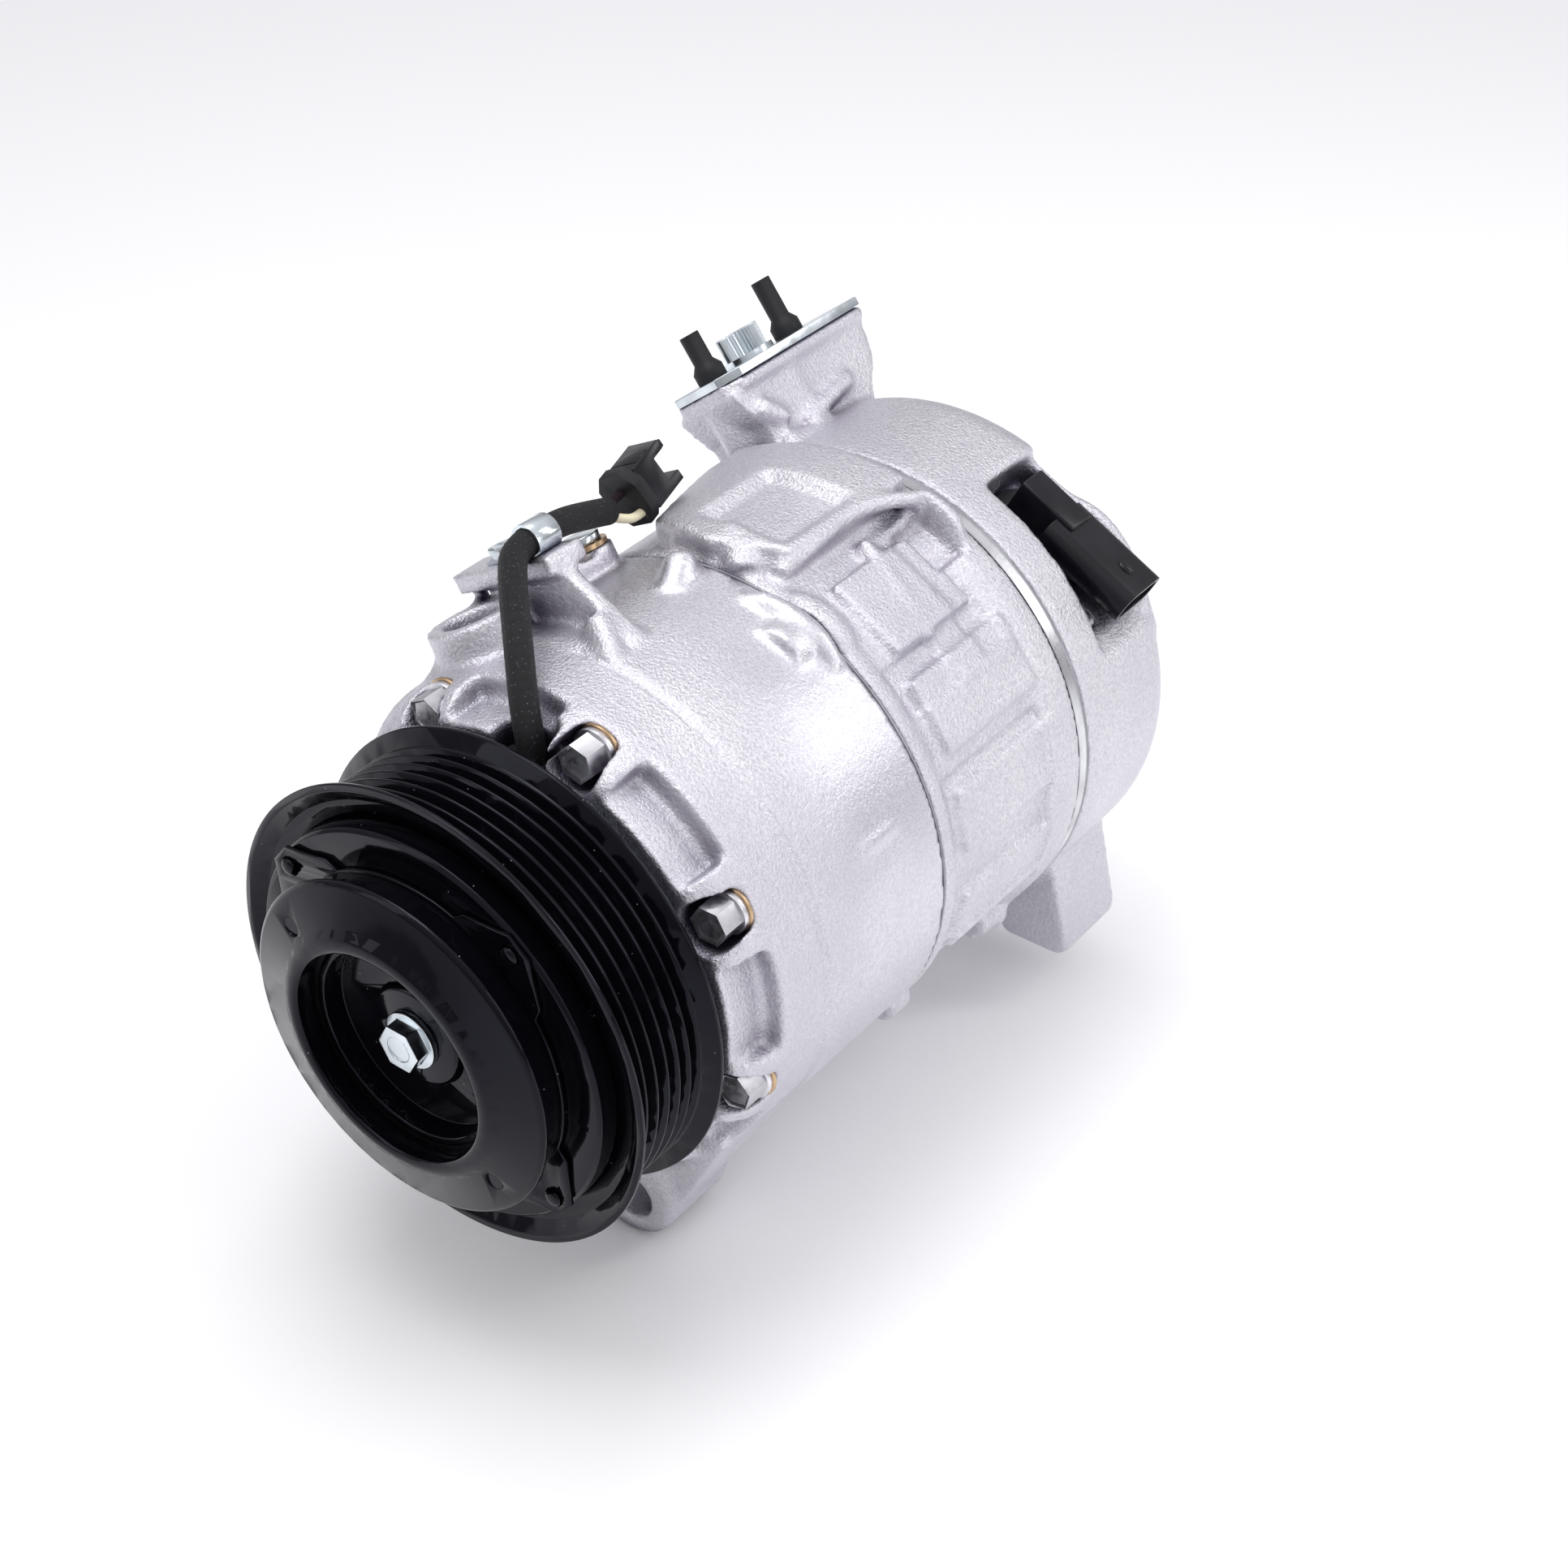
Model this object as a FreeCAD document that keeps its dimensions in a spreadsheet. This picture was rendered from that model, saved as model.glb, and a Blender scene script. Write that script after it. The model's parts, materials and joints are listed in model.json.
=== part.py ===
"""Belt-driven swash-plate air-conditioning compressor with a clutch pulley.

The shaft axis is Y and the pulley faces -Y. The origin is on the shaft axis,
in the middle of the belt grooves. +Z is up. Lengths are in millimetres.
"""

import FreeCAD
import Part
import Sketcher
import math
import os
import sys
from types import SimpleNamespace

DRIVING = {
    "pulley": dict(ribPitch=3.56, ribDepth=2.7, crestRadius=53.4, flangeRadius=57.3,
                   pulleyHalfWidth=13.4, flangeLip=1.0, rimInner=47.5, lipInner=55.6,
                   recessRadius=49.6, webFront=-10.5, webThick=5.0, rotorHubOuter=29.0,
                   rotorHubRear=14.0, rotorMouth=24.2, slotInner=38.0, slotWidth=2.0),
    "pulleyBearing": dict(bearingOuter=26.0, bearingInner=17.5, raceWall=2.6, bearingFront=-8.0,
                          bearingWidth=20.0, ballRadius=2.6, ballOffset=4.6, sealThick=0.8,
                          ringThick=1.0, ringPlay=0.05),
    "clutch": dict(airGap=0.5, armatureThick=5.5, armatureInner=28.0, armatureOuter=48.5,
                   springThick=1.0, springOuter=39.5, springInner=27.0, earTip=48.7,
                   earHalfWidth=6.5, rivetCircle=45.0, rivetRadius=2.1, rivetHead=3.4,
                   rivetHeadTall=1.2, rivetAngle=51.5, dishPinCircle=34.2, dishPinRadius=2.2,
                   dishEdge=-25.3, dishRadius=41.1, dishCrown=-29.4, dishThick=1.6,
                   dishMouth=25.8, dishSleeve=29.0, hubRim=25.3, hubRimFront=-23.4,
                   hubWall=2.0, hubFloorFront=-18.0, hubFloorRear=-15.0, bossRadius=12.5,
                   bossFront=-20.0, hubTube=10.5, hubTubeRear=3.0, splineRadius=6.0,
                   hubBoltShank=2.5, hubBoltFlange=7.0, hubBoltHead=3.5, hexHalf=5.0,
                   shimThick=0.5),
    "coil": dict(coilGap=0.8, coilWall=3.0, coilFront=-4.6, coilRear=14.6, coilPlateRadius=50.0,
                 windingGap=1.0, shoulderRadius=19.5,
                 shoulderFront=12.0, coilRingOuter=22.8),
    "shaft": dict(shaftRadius=8.0, shaftFront=-9.5, shaftRear=114.0, fit=0.05, snoutBore=13.0,
                  snoutFront=-11.0, bearingShell=11.0, needleRadius=0.75, frontShellFront=20.0,
                  frontShellRear=31.0, rearShellFront=101.0, rearShellRear=112.0,
                  sealFront=4.8, sealRear=14.0, sealRingFront=3.65),
    "cylinders": dict(cylinderRadius=14.0, cylinderCircle=36.5, pistonPlay=0.03,
                      pistonFront=55.5, pistonRear=124.0, plateMiddle=64.0, plateThick=7.0,
                      plateRadius=41.0, shoeSphere=8.0, shoePlay=0.05, skirtInner=27.0,
                      skirtRear=80.0),
    "casings": dict(faceFront=16.6, frontEnd=87.2, gasketThick=0.5, blockEnd=143.3,
                    casingFront=63.1, casingRear=64.4, crankRadius=52.5, crankFront=38.0,
                    stepPlace=43.6, rearEnd=186.6, chamberEnd=158.0, chamberRadius=53.0,
                    dischargeRadius=22.0, chamberWall=3.5, boltCircle=56.6, boltHole=3.3,
                    boltShank=3.0, boltFlange=5.3, boltHeadTall=5.8, boltHexHalf=4.1,
                    boltSeat=27.6, counterbore=6.3, washerRadius=5.7, washerThick=1.0,
                    boltStart=30.3, boltDepth=166.0, pocketInner=56.2, pocketOuter=67.0,
                    pocketFloor=28.5, reedThick=0.4, portPlateThick=2.4, retainerThick=0.8,
                    plateEdge=64.0, humpRadius=69.0),
    "ears": dict(topTurn=118.0, topEarAcross=-2.5, topEarPlace=42.6, topEarRadius=11.2,
                 topEarFace=70.0, topEarBore=7.1, topEarFloor=61.5, earRoot=44.0, lowerEarX=18.6,
                 lowerEarZ=-71.9, lowerEarBore=6.3, lowerEarRadius=13.6, lowerEarFront=24.6,
                 lowerEarLength=22.0, footLeft=36.5, footRight=56.5, footFront=157.0,
                 footRear=182.0, footBottom=-69.0, footHole=4.2, footDepth=16.0,
                 lugLeft=-13.0, lugRight=20.0, lugFront=49.5, lugRear=62.0, lugTop=77.4,
                 lugThick=4.8, lugRibFront=46.4, lugRibThick=4.6),
    "drain": dict(drainAcross=-2.0, drainPlace=79.6, drainBoss=6.6, drainTop=69.2,
                  drainWasher=5.8, drainWasherThick=1.1, drainHead=4.6, drainHeadTall=2.2,
                  drainThread=4.0, drainDeep=9.0),
    "ports": dict(portTurn=128.0, plateFront=143.4, plateRear=202.2, plateHalf=13.0,
                  flangeTop=83.8, flangeTall=3.2, shipPlate=2.2, suctionPlace=182.8,
                  dischargePlace=151.3, portScrewPlace=166.2, suctionBore=7.5,
                  dischargeBore=6.0, portDeep=20.0, capStem=2.6, capSkirt=4.0,
                  capShort=12.6, capTall=15.6, capPlug=3.6, capPlay=0.1, portScrewHead=5.9,
                  portScrewTall=5.8, portScrewShank=4.0, portScrewDeep=16.0,
                  screwFlange=6.9, screwFlangeTall=1.4, hexKey=2.6),
    "valve": dict(valveTurn=62.0, valveAcross=2.0, valvePlace=171.5, valveBore=9.5,
                  valvePlay=0.1, valveBottom=8.0, valveTop=50.0, headRadius=8.6,
                  headTop=55.0, pocketFrontWall=160.0, pocketRearWall=183.6,
                  pocketLow=49.5, pocketHigh=58.0, blockLeft=-3.0, blockRight=14.0,
                  blockFront=169.4, blockRear=177.8, blockTop=64.0, socketEnd=36.0,
                  socketHigh=58.2, socketHalf=8.2, socketTall=4.8, socketWall=1.3,
                  socketDeep=14.0, pinThick=0.6),
    "lead": dict(sleeveRadius=3.2, wireRadius=1.1, padHalfTall=7.2, padHalfWide=6.2,
                 padThick=3.4, plugLong=14.4, plugHalfTall=5.8, plugHalfWide=5.0,
                 plugHigh=74.7, plugAcross=3.2, plugPlace=92.2, plugTilt=16.7,
                 clampThick=0.8, clampPlace=56.0, clampHalf=3.6, loopAcross=12.7,
                 screwAcross=1.3, clampScrewHead=4.0, clampScrewTall=2.6,
                 clampScrewShank=2.0, clampScrewDeep=3.6),
}

RIBS = 6
BALLS = 14
NEEDLES = 18
CYLINDERS = 7
BOLTS = 8
EARS = 4
SLOTS = 6

doc = FreeCAD.newDocument("compressor")
sheet = doc.addObject("Spreadsheet::Sheet", "Sizes")
published = []


class Size:
    """A number together with the spreadsheet expression that gives it."""

    def __init__(self, value, text):
        self.value = value
        self.text = text

    def __add__(self, other):
        return Size(self.value + number(other), f"({self.text} + {words(other)})")

    def __radd__(self, other):
        return Size(number(other) + self.value, f"({words(other)} + {self.text})")

    def __sub__(self, other):
        return Size(self.value - number(other), f"({self.text} - {words(other)})")

    def __rsub__(self, other):
        return Size(number(other) - self.value, f"({words(other)} - {self.text})")

    def __mul__(self, other):
        return Size(self.value * number(other), f"({self.text} * {words(other)})")

    def __rmul__(self, other):
        return self * other

    def __truediv__(self, other):
        return Size(self.value / number(other), f"({self.text} / {words(other)})")

    def __neg__(self):
        return Size(-self.value, f"(0 - {self.text})")


def number(value):
    return value.value if isinstance(value, Size) else float(value)


def words(value):
    return value.text if isinstance(value, Size) else f"({float(value):.6f})"


def fill_sheet():
    """Writes each driving size into the sheet, and returns the named sizes."""
    named = {}
    row = 1
    for group, cells in DRIVING.items():
        sheet.set(f"A{row}", group)
        row += 1
        for alias, value in cells.items():
            sheet.set(f"A{row}", alias)
            sheet.set(f"B{row}", str(value))
            sheet.setAlias(f"B{row}", alias)
            named[alias] = Size(float(value), f"Sizes.{alias}")
            row += 1
    doc.recompute()
    return SimpleNamespace(**named)


s = fill_sheet()


# Building helpers

def bind(thing, name, value):
    setattr(thing, name, number(value))
    if isinstance(value, Size):
        thing.setExpression(name, value.text)


def place(thing, x=0, y=0, z=0, axis=(0, 0, 1), angle=0):
    turn = FreeCAD.Rotation(FreeCAD.Vector(*axis), number(angle))
    spot = FreeCAD.Vector(number(x), number(y), number(z))
    thing.Placement = FreeCAD.Placement(spot, turn)
    for letter, value in zip("xyz", (x, y, z)):
        if isinstance(value, Size):
            thing.setExpression(f"Placement.Base.{letter}", value.text)
    if isinstance(angle, Size):
        thing.setExpression("Placement.Rotation.Angle", angle.text)
    return thing


def swing(thing, angle):
    """Turns a piece built over the shaft, on +Z, to an angle counted from +X."""
    turn = 90 - angle
    if number(turn) < 0:
        return place(thing, axis=(0, -1, 0), angle=-turn)
    return place(thing, axis=(0, 1, 0), angle=turn)


def cylinder(name, radius, length, x=0, y=0, z=0, along="y"):
    tube = doc.addObject("Part::Cylinder", name)
    bind(tube, "Radius", radius)
    bind(tube, "Height", length)
    turns = {"x": ((0, 1, 0), 90), "y": ((-1, 0, 0), 90), "z": ((0, 0, 1), 0)}
    axis, angle = turns[along]
    return place(tube, x, y, z, axis, angle)


def hexagon(name, half, length, x=0, y=0, z=0, along="y"):
    head = doc.addObject("Part::Prism", name)
    head.Polygon = 6
    bind(head, "Circumradius", half * (2 / math.sqrt(3)))
    bind(head, "Height", length)
    turns = {"y": ((-1, 0, 0), 90), "z": ((0, 0, 1), 0)}
    axis, angle = turns[along]
    return place(head, x, y, z, axis, angle)


def ball(name, radius, x=0, y=0, z=0):
    sphere = doc.addObject("Part::Sphere", name)
    bind(sphere, "Radius", radius)
    return place(sphere, x, y, z)


def block(name, x, y, z):
    """A box between (low, high) pairs."""
    box = doc.addObject("Part::Box", name)
    for side, (low, high) in zip(("Length", "Width", "Height"), (x, y, z)):
        bind(box, side, high - low)
    return place(box, x[0], y[0], z[0])


def fuse(name, pieces):
    if len(pieces) == 1:
        return group(name, pieces)
    joined = doc.addObject("Part::MultiFuse", name)
    joined.Shapes = pieces
    return joined


def cut(name, base, tool):
    left = doc.addObject("Part::Cut", name)
    left.Base = base
    left.Tool = tool
    return left


def common(name, first, second):
    both = doc.addObject("Part::Common", name)
    both.Base = first
    both.Tool = second
    return both


def group(name, pieces):
    bundle = doc.addObject("Part::Compound", name)
    bundle.Links = pieces
    return bundle


def origin_plane(body, role):
    return [f for f in body.Origin.OriginFeatures if f.Role == role][0]


def draw(body, role, points, offset=0):
    """A closed outline on one of the body's origin planes, tied to the sheet."""
    sketch = body.newObject("Sketcher::SketchObject", f"{body.Name}Outline")
    sketch.AttachmentSupport = (origin_plane(body, role), [""])
    sketch.MapMode = "FlatFace"
    if isinstance(offset, Size) or offset:
        sketch.AttachmentOffset = FreeCAD.Placement(
            FreeCAD.Vector(0, 0, number(offset)), FreeCAD.Rotation())
        if isinstance(offset, Size):
            sketch.setExpression("AttachmentOffset.Base.z", offset.text)
    spots = [FreeCAD.Vector(number(u), number(v), 0) for u, v in points]
    count = len(spots)
    for i in range(count):
        sketch.addGeometry(Part.LineSegment(spots[i], spots[(i + 1) % count]))
    for i in range(count):
        sketch.addConstraint(Sketcher.Constraint("Coincident", i, 2, (i + 1) % count, 1))
    for i, pair in enumerate(points):
        for way, value, axis in zip(("DistanceX", "DistanceY"), pair, (-2, -1)):
            if number(value) == 0:
                sketch.addConstraint(Sketcher.Constraint("PointOnObject", i, 1, axis))
                continue
            index = sketch.addConstraint(
                Sketcher.Constraint(way, -1, 1, i, 1, number(value)))
            if isinstance(value, Size):
                sketch.setExpression(f"Constraints[{index}]", value.text)
    return sketch


def lathe(name, points):
    """Turns an outline of (radius, place along the shaft) about the shaft axis."""
    body = doc.addObject("PartDesign::Body", name)
    sketch = draw(body, "XY_Plane", points)
    turned = body.newObject("PartDesign::Revolution", f"{name}Turned")
    turned.Profile = sketch
    turned.ReferenceAxis = (sketch, ["V_Axis"])
    turned.Angle = 360
    return body


def pad(name, role, points, offset, length, back=False):
    body = doc.addObject("PartDesign::Body", name)
    sketch = draw(body, role, points, offset)
    raised = body.newObject("PartDesign::Pad", f"{name}Pad")
    raised.Profile = sketch
    raised.Reversed = back
    bind(raised, "Length", length)
    return body


def slab(name, points, front, length):
    """An outline of (x, z) pushed from front towards +Y."""
    return pad(name, "XZ_Plane", points, -front, length, True)


def sheet_plate(name, points, low, thick):
    """An outline of (x, y) pushed upwards from low."""
    return pad(name, "XY_Plane", points, low, thick)


def side_plate(name, points, left, width):
    """An outline of (y, z) pushed from left towards +X."""
    return pad(name, "YZ_Plane", points, left, width)


def tube(name, inner, outer, front, rear):
    return lathe(name, [(inner, front), (outer, front), (outer, rear), (inner, rear)])


def sector_slots(body, points, angle, count, start):
    """Cuts an outline round the axis over an angle, and repeats it."""
    sketch = draw(body, "XY_Plane", points)
    sketch.AttachmentOffset = FreeCAD.Placement(
        FreeCAD.Vector(), FreeCAD.Rotation(FreeCAD.Vector(0, 1, 0), -start))
    groove = body.newObject("PartDesign::Groove", f"{body.Name}Groove")
    groove.Profile = sketch
    groove.ReferenceAxis = (sketch, ["V_Axis"])
    groove.Angle = angle
    groove.Midplane = True
    pattern = body.newObject("PartDesign::PolarPattern", f"{body.Name}Pattern")
    pattern.Originals = [groove]
    pattern.Axis = (sketch, ["V_Axis"])
    pattern.Angle = 360
    pattern.Occurrences = count
    body.Tip = pattern
    return body


def around(name, count, start, build):
    """Builds a piece over the shaft and repeats it at equal angles."""
    step = 360 / count
    pieces = []
    for i in range(count):
        angle = start + step * i
        if number(angle) > 270:
            angle = angle - 360
        pieces.append(swing(build(f"{name}{i}"), angle))
    return group(name, pieces)


def ring_holes(name, radius, circle, front, length, count, start):
    return around(name, count, start,
                  lambda title: fuse(title, [cylinder(f"{title}Hole", radius, length,
                                                      0, front, circle)]))


def publish(node, thing):
    thing.Label = node
    published.append(thing)
    return thing


# Clutch pulley and its bearing

def pulley():
    groove_top = s.ribPitch * 0.42
    groove_floor = s.ribPitch * 0.155
    outline = [(s.flangeRadius, -s.pulleyHalfWidth),
               (s.flangeRadius, s.flangeLip - s.pulleyHalfWidth),
               (s.crestRadius, -s.ribPitch * (RIBS / 2) - 0.2)]
    for i in range(RIBS):
        middle = s.ribPitch * (i - (RIBS - 1) / 2)
        outline += [(s.crestRadius, middle - groove_top),
                    (s.crestRadius - s.ribDepth, middle - groove_floor),
                    (s.crestRadius - s.ribDepth, middle + groove_floor),
                    (s.crestRadius, middle + groove_top)]
    web_rear = s.webFront + s.webThick
    ring_front = s.bearingFront + s.bearingWidth + s.ringPlay
    ring_rear = ring_front + s.ringThick + s.ringPlay
    outline += [(s.crestRadius, s.ribPitch * (RIBS / 2) + 0.2),
                (s.flangeRadius, s.pulleyHalfWidth - s.flangeLip),
                (s.flangeRadius, s.pulleyHalfWidth),
                (s.lipInner, s.pulleyHalfWidth),
                (s.rimInner, s.pulleyHalfWidth - 3),
                (s.rimInner, web_rear),
                (s.rotorHubOuter, web_rear),
                (s.rotorHubOuter, s.rotorHubRear),
                (s.bearingOuter, s.rotorHubRear),
                (s.bearingOuter, ring_rear),
                (s.bearingOuter + 1.2, ring_rear),
                (s.bearingOuter + 1.2, ring_front),
                (s.bearingOuter, ring_front),
                (s.bearingOuter, s.bearingFront),
                (s.rotorMouth, s.bearingFront),
                (s.rotorMouth, s.webFront),
                (s.recessRadius, s.webFront),
                (s.recessRadius + 1, s.webFront - 0.5),
                (s.lipInner - 3, s.webFront - 0.5),
                (s.lipInner, -s.pulleyHalfWidth)]
    wheel = lathe("pulleyWheel", outline)
    slot = [(s.slotInner, s.webFront - 1),
            (s.slotInner + s.slotWidth, s.webFront - 1),
            (s.slotInner + s.slotWidth, web_rear + 1),
            (s.slotInner, web_rear + 1)]
    publish("clutch_pulley", sector_slots(wheel, slot, 46, SLOTS, 0))


def pulley_bearing():
    rear = s.bearingFront + s.bearingWidth
    middle = s.bearingFront + s.bearingWidth / 2
    pitch = (s.bearingOuter + s.bearingInner) / 2
    tracks = []
    for i, way in enumerate((-1, 1)):
        track = doc.addObject("Part::Torus", f"ballTrack{i}")
        bind(track, "Radius1", pitch)
        bind(track, "Radius2", s.ballRadius + s.fit)
        tracks.append(place(track, 0, middle + s.ballOffset * way, 0, (1, 0, 0), 90))
    outer = tube("outerRing", s.bearingOuter - s.raceWall, s.bearingOuter, s.bearingFront, rear)
    publish("pulley_bearing_outer_race", cut("outerRace", outer, group("outerTracks", tracks)))
    inner = tube("innerRing", s.bearingInner, s.bearingInner + s.raceWall, s.bearingFront, rear)
    publish("pulley_bearing_inner_race", cut("innerRace", inner, group("innerTracks", tracks)))
    balls = []
    for i, way in enumerate((-1, 1)):
        for j in range(BALLS):
            angle = 360 / BALLS * j
            balls.append(ball(f"ball{i}n{j}", s.ballRadius,
                              pitch * math.cos(math.radians(angle)),
                              middle + s.ballOffset * way,
                              pitch * math.sin(math.radians(angle))))
    publish("pulley_bearing_balls", group("bearingBalls", balls))
    low = s.bearingInner + s.raceWall + s.fit * 2
    high = s.bearingOuter - s.raceWall
    seals = [tube("frontSeal", low, high, s.bearingFront + 0.3, s.bearingFront + 0.3 + s.sealThick),
             tube("rearSeal", low, high, rear - 0.3 - s.sealThick, rear - 0.3)]
    publish("pulley_bearing_seals", group("bearingSeals", seals))
    ring = tube("bearingRingBlank", s.bearingOuter - 1.8, s.bearingOuter + 1.1,
                rear + s.ringPlay, rear + s.ringPlay + s.ringThick)
    gap = block("bearingRingGap", (-4, 4), (rear - 1, rear + 4), (20, 32))
    publish("bearing_snap_ring", cut("bearingRing", ring, gap))


def snout_rings():
    """The two snap rings on the snout: bearing in front, field coil behind."""
    front = s.bearingFront - s.ringPlay
    rear = s.coilRear - s.ringPlay
    rings = []
    for title, inner, outer, end in (
            ("noseRing", s.bearingInner - 1.0, s.bearingInner + 2.7, front),
            ("coilRing", s.shoulderRadius - 0.9, s.coilRingOuter, rear)):
        ring = tube(f"{title}Blank", inner, outer, end - s.ringThick, end)
        gap = block(f"{title}Gap", (-3.5, 3.5), (end - 3, end + 2), (12, 26))
        rings.append(cut(title, ring, gap))
    publish("snout_snap_rings", group("snoutRings", rings))


# Clutch front: hub, damper, front plate, leaf spring and armature

def clutch_places():
    armature_rear = s.webFront - s.airGap
    armature_front = armature_rear - s.armatureThick
    spring_rear = armature_front - 0.2
    spring_front = spring_rear - s.springThick
    return armature_rear, armature_front, spring_rear, spring_front


def clutch_hub():
    bore = s.splineRadius + s.fit
    shim_front = s.shaftFront - s.shimThick
    bolt_way = s.hubBoltShank + 0.6
    publish("clutch_hub", lathe("hubBlank", [
        (bolt_way, s.bossFront), (s.bossRadius - 0.8, s.bossFront),
        (s.bossRadius, s.bossFront + 0.8), (s.bossRadius, s.hubFloorFront),
        (s.hubRim - s.hubWall, s.hubFloorFront), (s.hubRim - s.hubWall, s.hubRimFront),
        (s.hubRim, s.hubRimFront), (s.hubRim, s.hubFloorRear),
        (s.hubTube + 2, s.hubFloorRear), (s.hubTube, s.hubFloorRear + 2),
        (s.hubTube, s.hubTubeRear), (bore, s.hubTubeRear), (bore, shim_front),
        (bolt_way, shim_front)]))
    publish("hub_shim", tube("shimRing", s.hubBoltShank + 0.6, s.splineRadius - 0.1,
                             shim_front, s.shaftFront))
    flange_rear = s.bossFront
    flange_front = flange_rear - 1.6
    shank_length = s.shaftFront + 18 - flange_rear
    head = hexagon("hubBoltHex", s.hexHalf, s.hubBoltHead, 0, flange_front - s.hubBoltHead, 0)
    dimple = cylinder("hubBoltDimple", s.hexHalf * 0.62, 0.5, 0,
                      flange_front - s.hubBoltHead - 0.1, 0)
    bolt = fuse("hubBoltSolid", [
        cut("hubBoltHead", head, dimple),
        cylinder("hubBoltFlange", s.hubBoltFlange, 1.6, 0, flange_front, 0),
        cylinder("hubBoltShank", s.hubBoltShank, shank_length, 0, flange_rear, 0)])
    publish("hub_bolt", bolt)


def clutch_front():
    armature_rear, armature_front, spring_rear, spring_front = clutch_places()
    publish("hub_damper", tube("damperRing", s.hubRim, s.dishSleeve,
                               s.hubRimFront + 0.6, spring_front))
    skirt = s.dishRadius - 2.3
    dish = lathe("dishBlank", [
        (s.dishMouth, s.dishCrown + 0.6), (s.dishMouth + 1.2, s.dishCrown),
        (s.dishMouth + 3.4, s.dishCrown + 0.4), (s.dishMouth + 5.4, s.dishCrown + 2.2),
        (s.dishRadius - 1.2, s.dishEdge - 0.4), (s.dishRadius, s.dishEdge + 0.4),
        (s.dishRadius, s.dishEdge + 1.4), (skirt, s.dishEdge + 2.8),
        (skirt, spring_front), (skirt - s.dishThick, spring_front),
        (skirt - s.dishThick, s.dishEdge + 1.8), (s.dishSleeve + s.dishThick, s.dishEdge + 1.0),
        (s.dishSleeve + s.dishThick, spring_front), (s.dishSleeve, spring_front),
        (s.dishSleeve, s.hubRimFront - 0.6), (s.dishMouth, s.hubRimFront - 0.6)])
    pin_holes = ring_holes("dishHoles", s.dishPinRadius, s.dishPinCircle,
                           s.dishEdge - 2, 12, 2, s.rivetAngle + 90)
    publish("front_plate", cut("dish", dish, pin_holes))
    publish("front_plate_rivets", around("dishPins", 2, s.rivetAngle + 90, lambda title: fuse(
        title, [cylinder(f"{title}Pin", s.dishPinRadius, spring_rear - s.dishEdge + 1,
                         0, s.dishEdge - 1, s.dishPinCircle)])))
    web = tube("springWeb", s.springInner, s.springOuter, spring_front, spring_rear)
    tip = s.earTip
    half = s.earHalfWidth
    ears = around("springEars", EARS, s.rivetAngle, lambda title: slab(
        title, [(-half * 2.2, s.springOuter - 6), (half * 2.2, s.springOuter - 6),
                (half * 1.9, s.springOuter + 1), (half, s.rivetCircle + 0.5),
                (half * 0.5, tip), (-half * 0.5, tip), (-half, s.rivetCircle + 0.5),
                (-half * 1.9, s.springOuter + 1)], spring_front, s.springThick))
    holes = group("springHoles", [
        ring_holes("earHoles", s.rivetRadius + 0.2, s.rivetCircle, spring_front - 1, 4,
                   EARS, s.rivetAngle),
        ring_holes("pinHoles", s.dishPinRadius, s.dishPinCircle, spring_front - 1, 4,
                   2, s.rivetAngle + 90)])
    publish("leaf_spring", cut("springPlate", fuse("springBlank", [web, ears]), holes))
    disc = lathe("armatureBlank", [
        (s.armatureInner, armature_front), (s.armatureOuter - 0.8, armature_front),
        (s.armatureOuter, armature_front + 0.8), (s.armatureOuter, armature_rear),
        (s.armatureInner, armature_rear)])
    slot = [(s.slotInner - 4.6, armature_front - 1),
            (s.slotInner - 2.6, armature_front - 1),
            (s.slotInner - 2.6, armature_rear + 1), (s.slotInner - 4.6, armature_rear + 1)]
    disc = sector_slots(disc, slot, 46, SLOTS, 30)
    holes = ring_holes("armatureHoles", s.rivetRadius, s.rivetCircle, armature_front - 1,
                       s.armatureThick + 2, EARS, s.rivetAngle)
    publish("armature", cut("armatureDisc", disc, holes))
    publish("armature_rivets", around("rivets", EARS, s.rivetAngle, lambda title: fuse(
        title, [cylinder(f"{title}Shank", s.rivetRadius, armature_rear - 0.3 - spring_front,
                         0, spring_front, s.rivetCircle),
                cylinder(f"{title}Head", s.rivetHead, s.rivetHeadTall,
                         0, spring_front - s.rivetHeadTall, s.rivetCircle)])))


# Field coil

def field_coil():
    inner = s.rotorHubOuter + s.coilGap
    outer = s.rimInner - s.coilGap
    floor = s.coilRear - s.coilWall
    publish("coil_shell", lathe("coilShell", [
        (inner, s.coilFront), (inner + s.coilWall, s.coilFront), (inner + s.coilWall, floor),
        (outer - s.coilWall, floor), (outer - s.coilWall, s.coilFront), (outer, s.coilFront),
        (outer, s.coilRear), (inner, s.coilRear)]))
    publish("coil_winding", tube("windingRing", inner + s.coilWall, outer - s.coilWall,
                                 s.coilFront + s.windingGap, floor))
    publish("coil_plate", tube("coilPlate", s.shoulderRadius + s.fit, s.coilPlateRadius,
                               s.coilRear, s.faceFront))
    grommet = block("grommetBlock", (-5.5, 5.5), (s.faceFront, s.faceFront + 5.4), (42.6, 50.2))
    way = lead_exit_hole("grommetWay", s.sleeveRadius)
    publish("coil_lead_grommet", cut("grommet", grommet, way))


# Lead: route of the braided sleeve and of the two wires inside it

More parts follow.
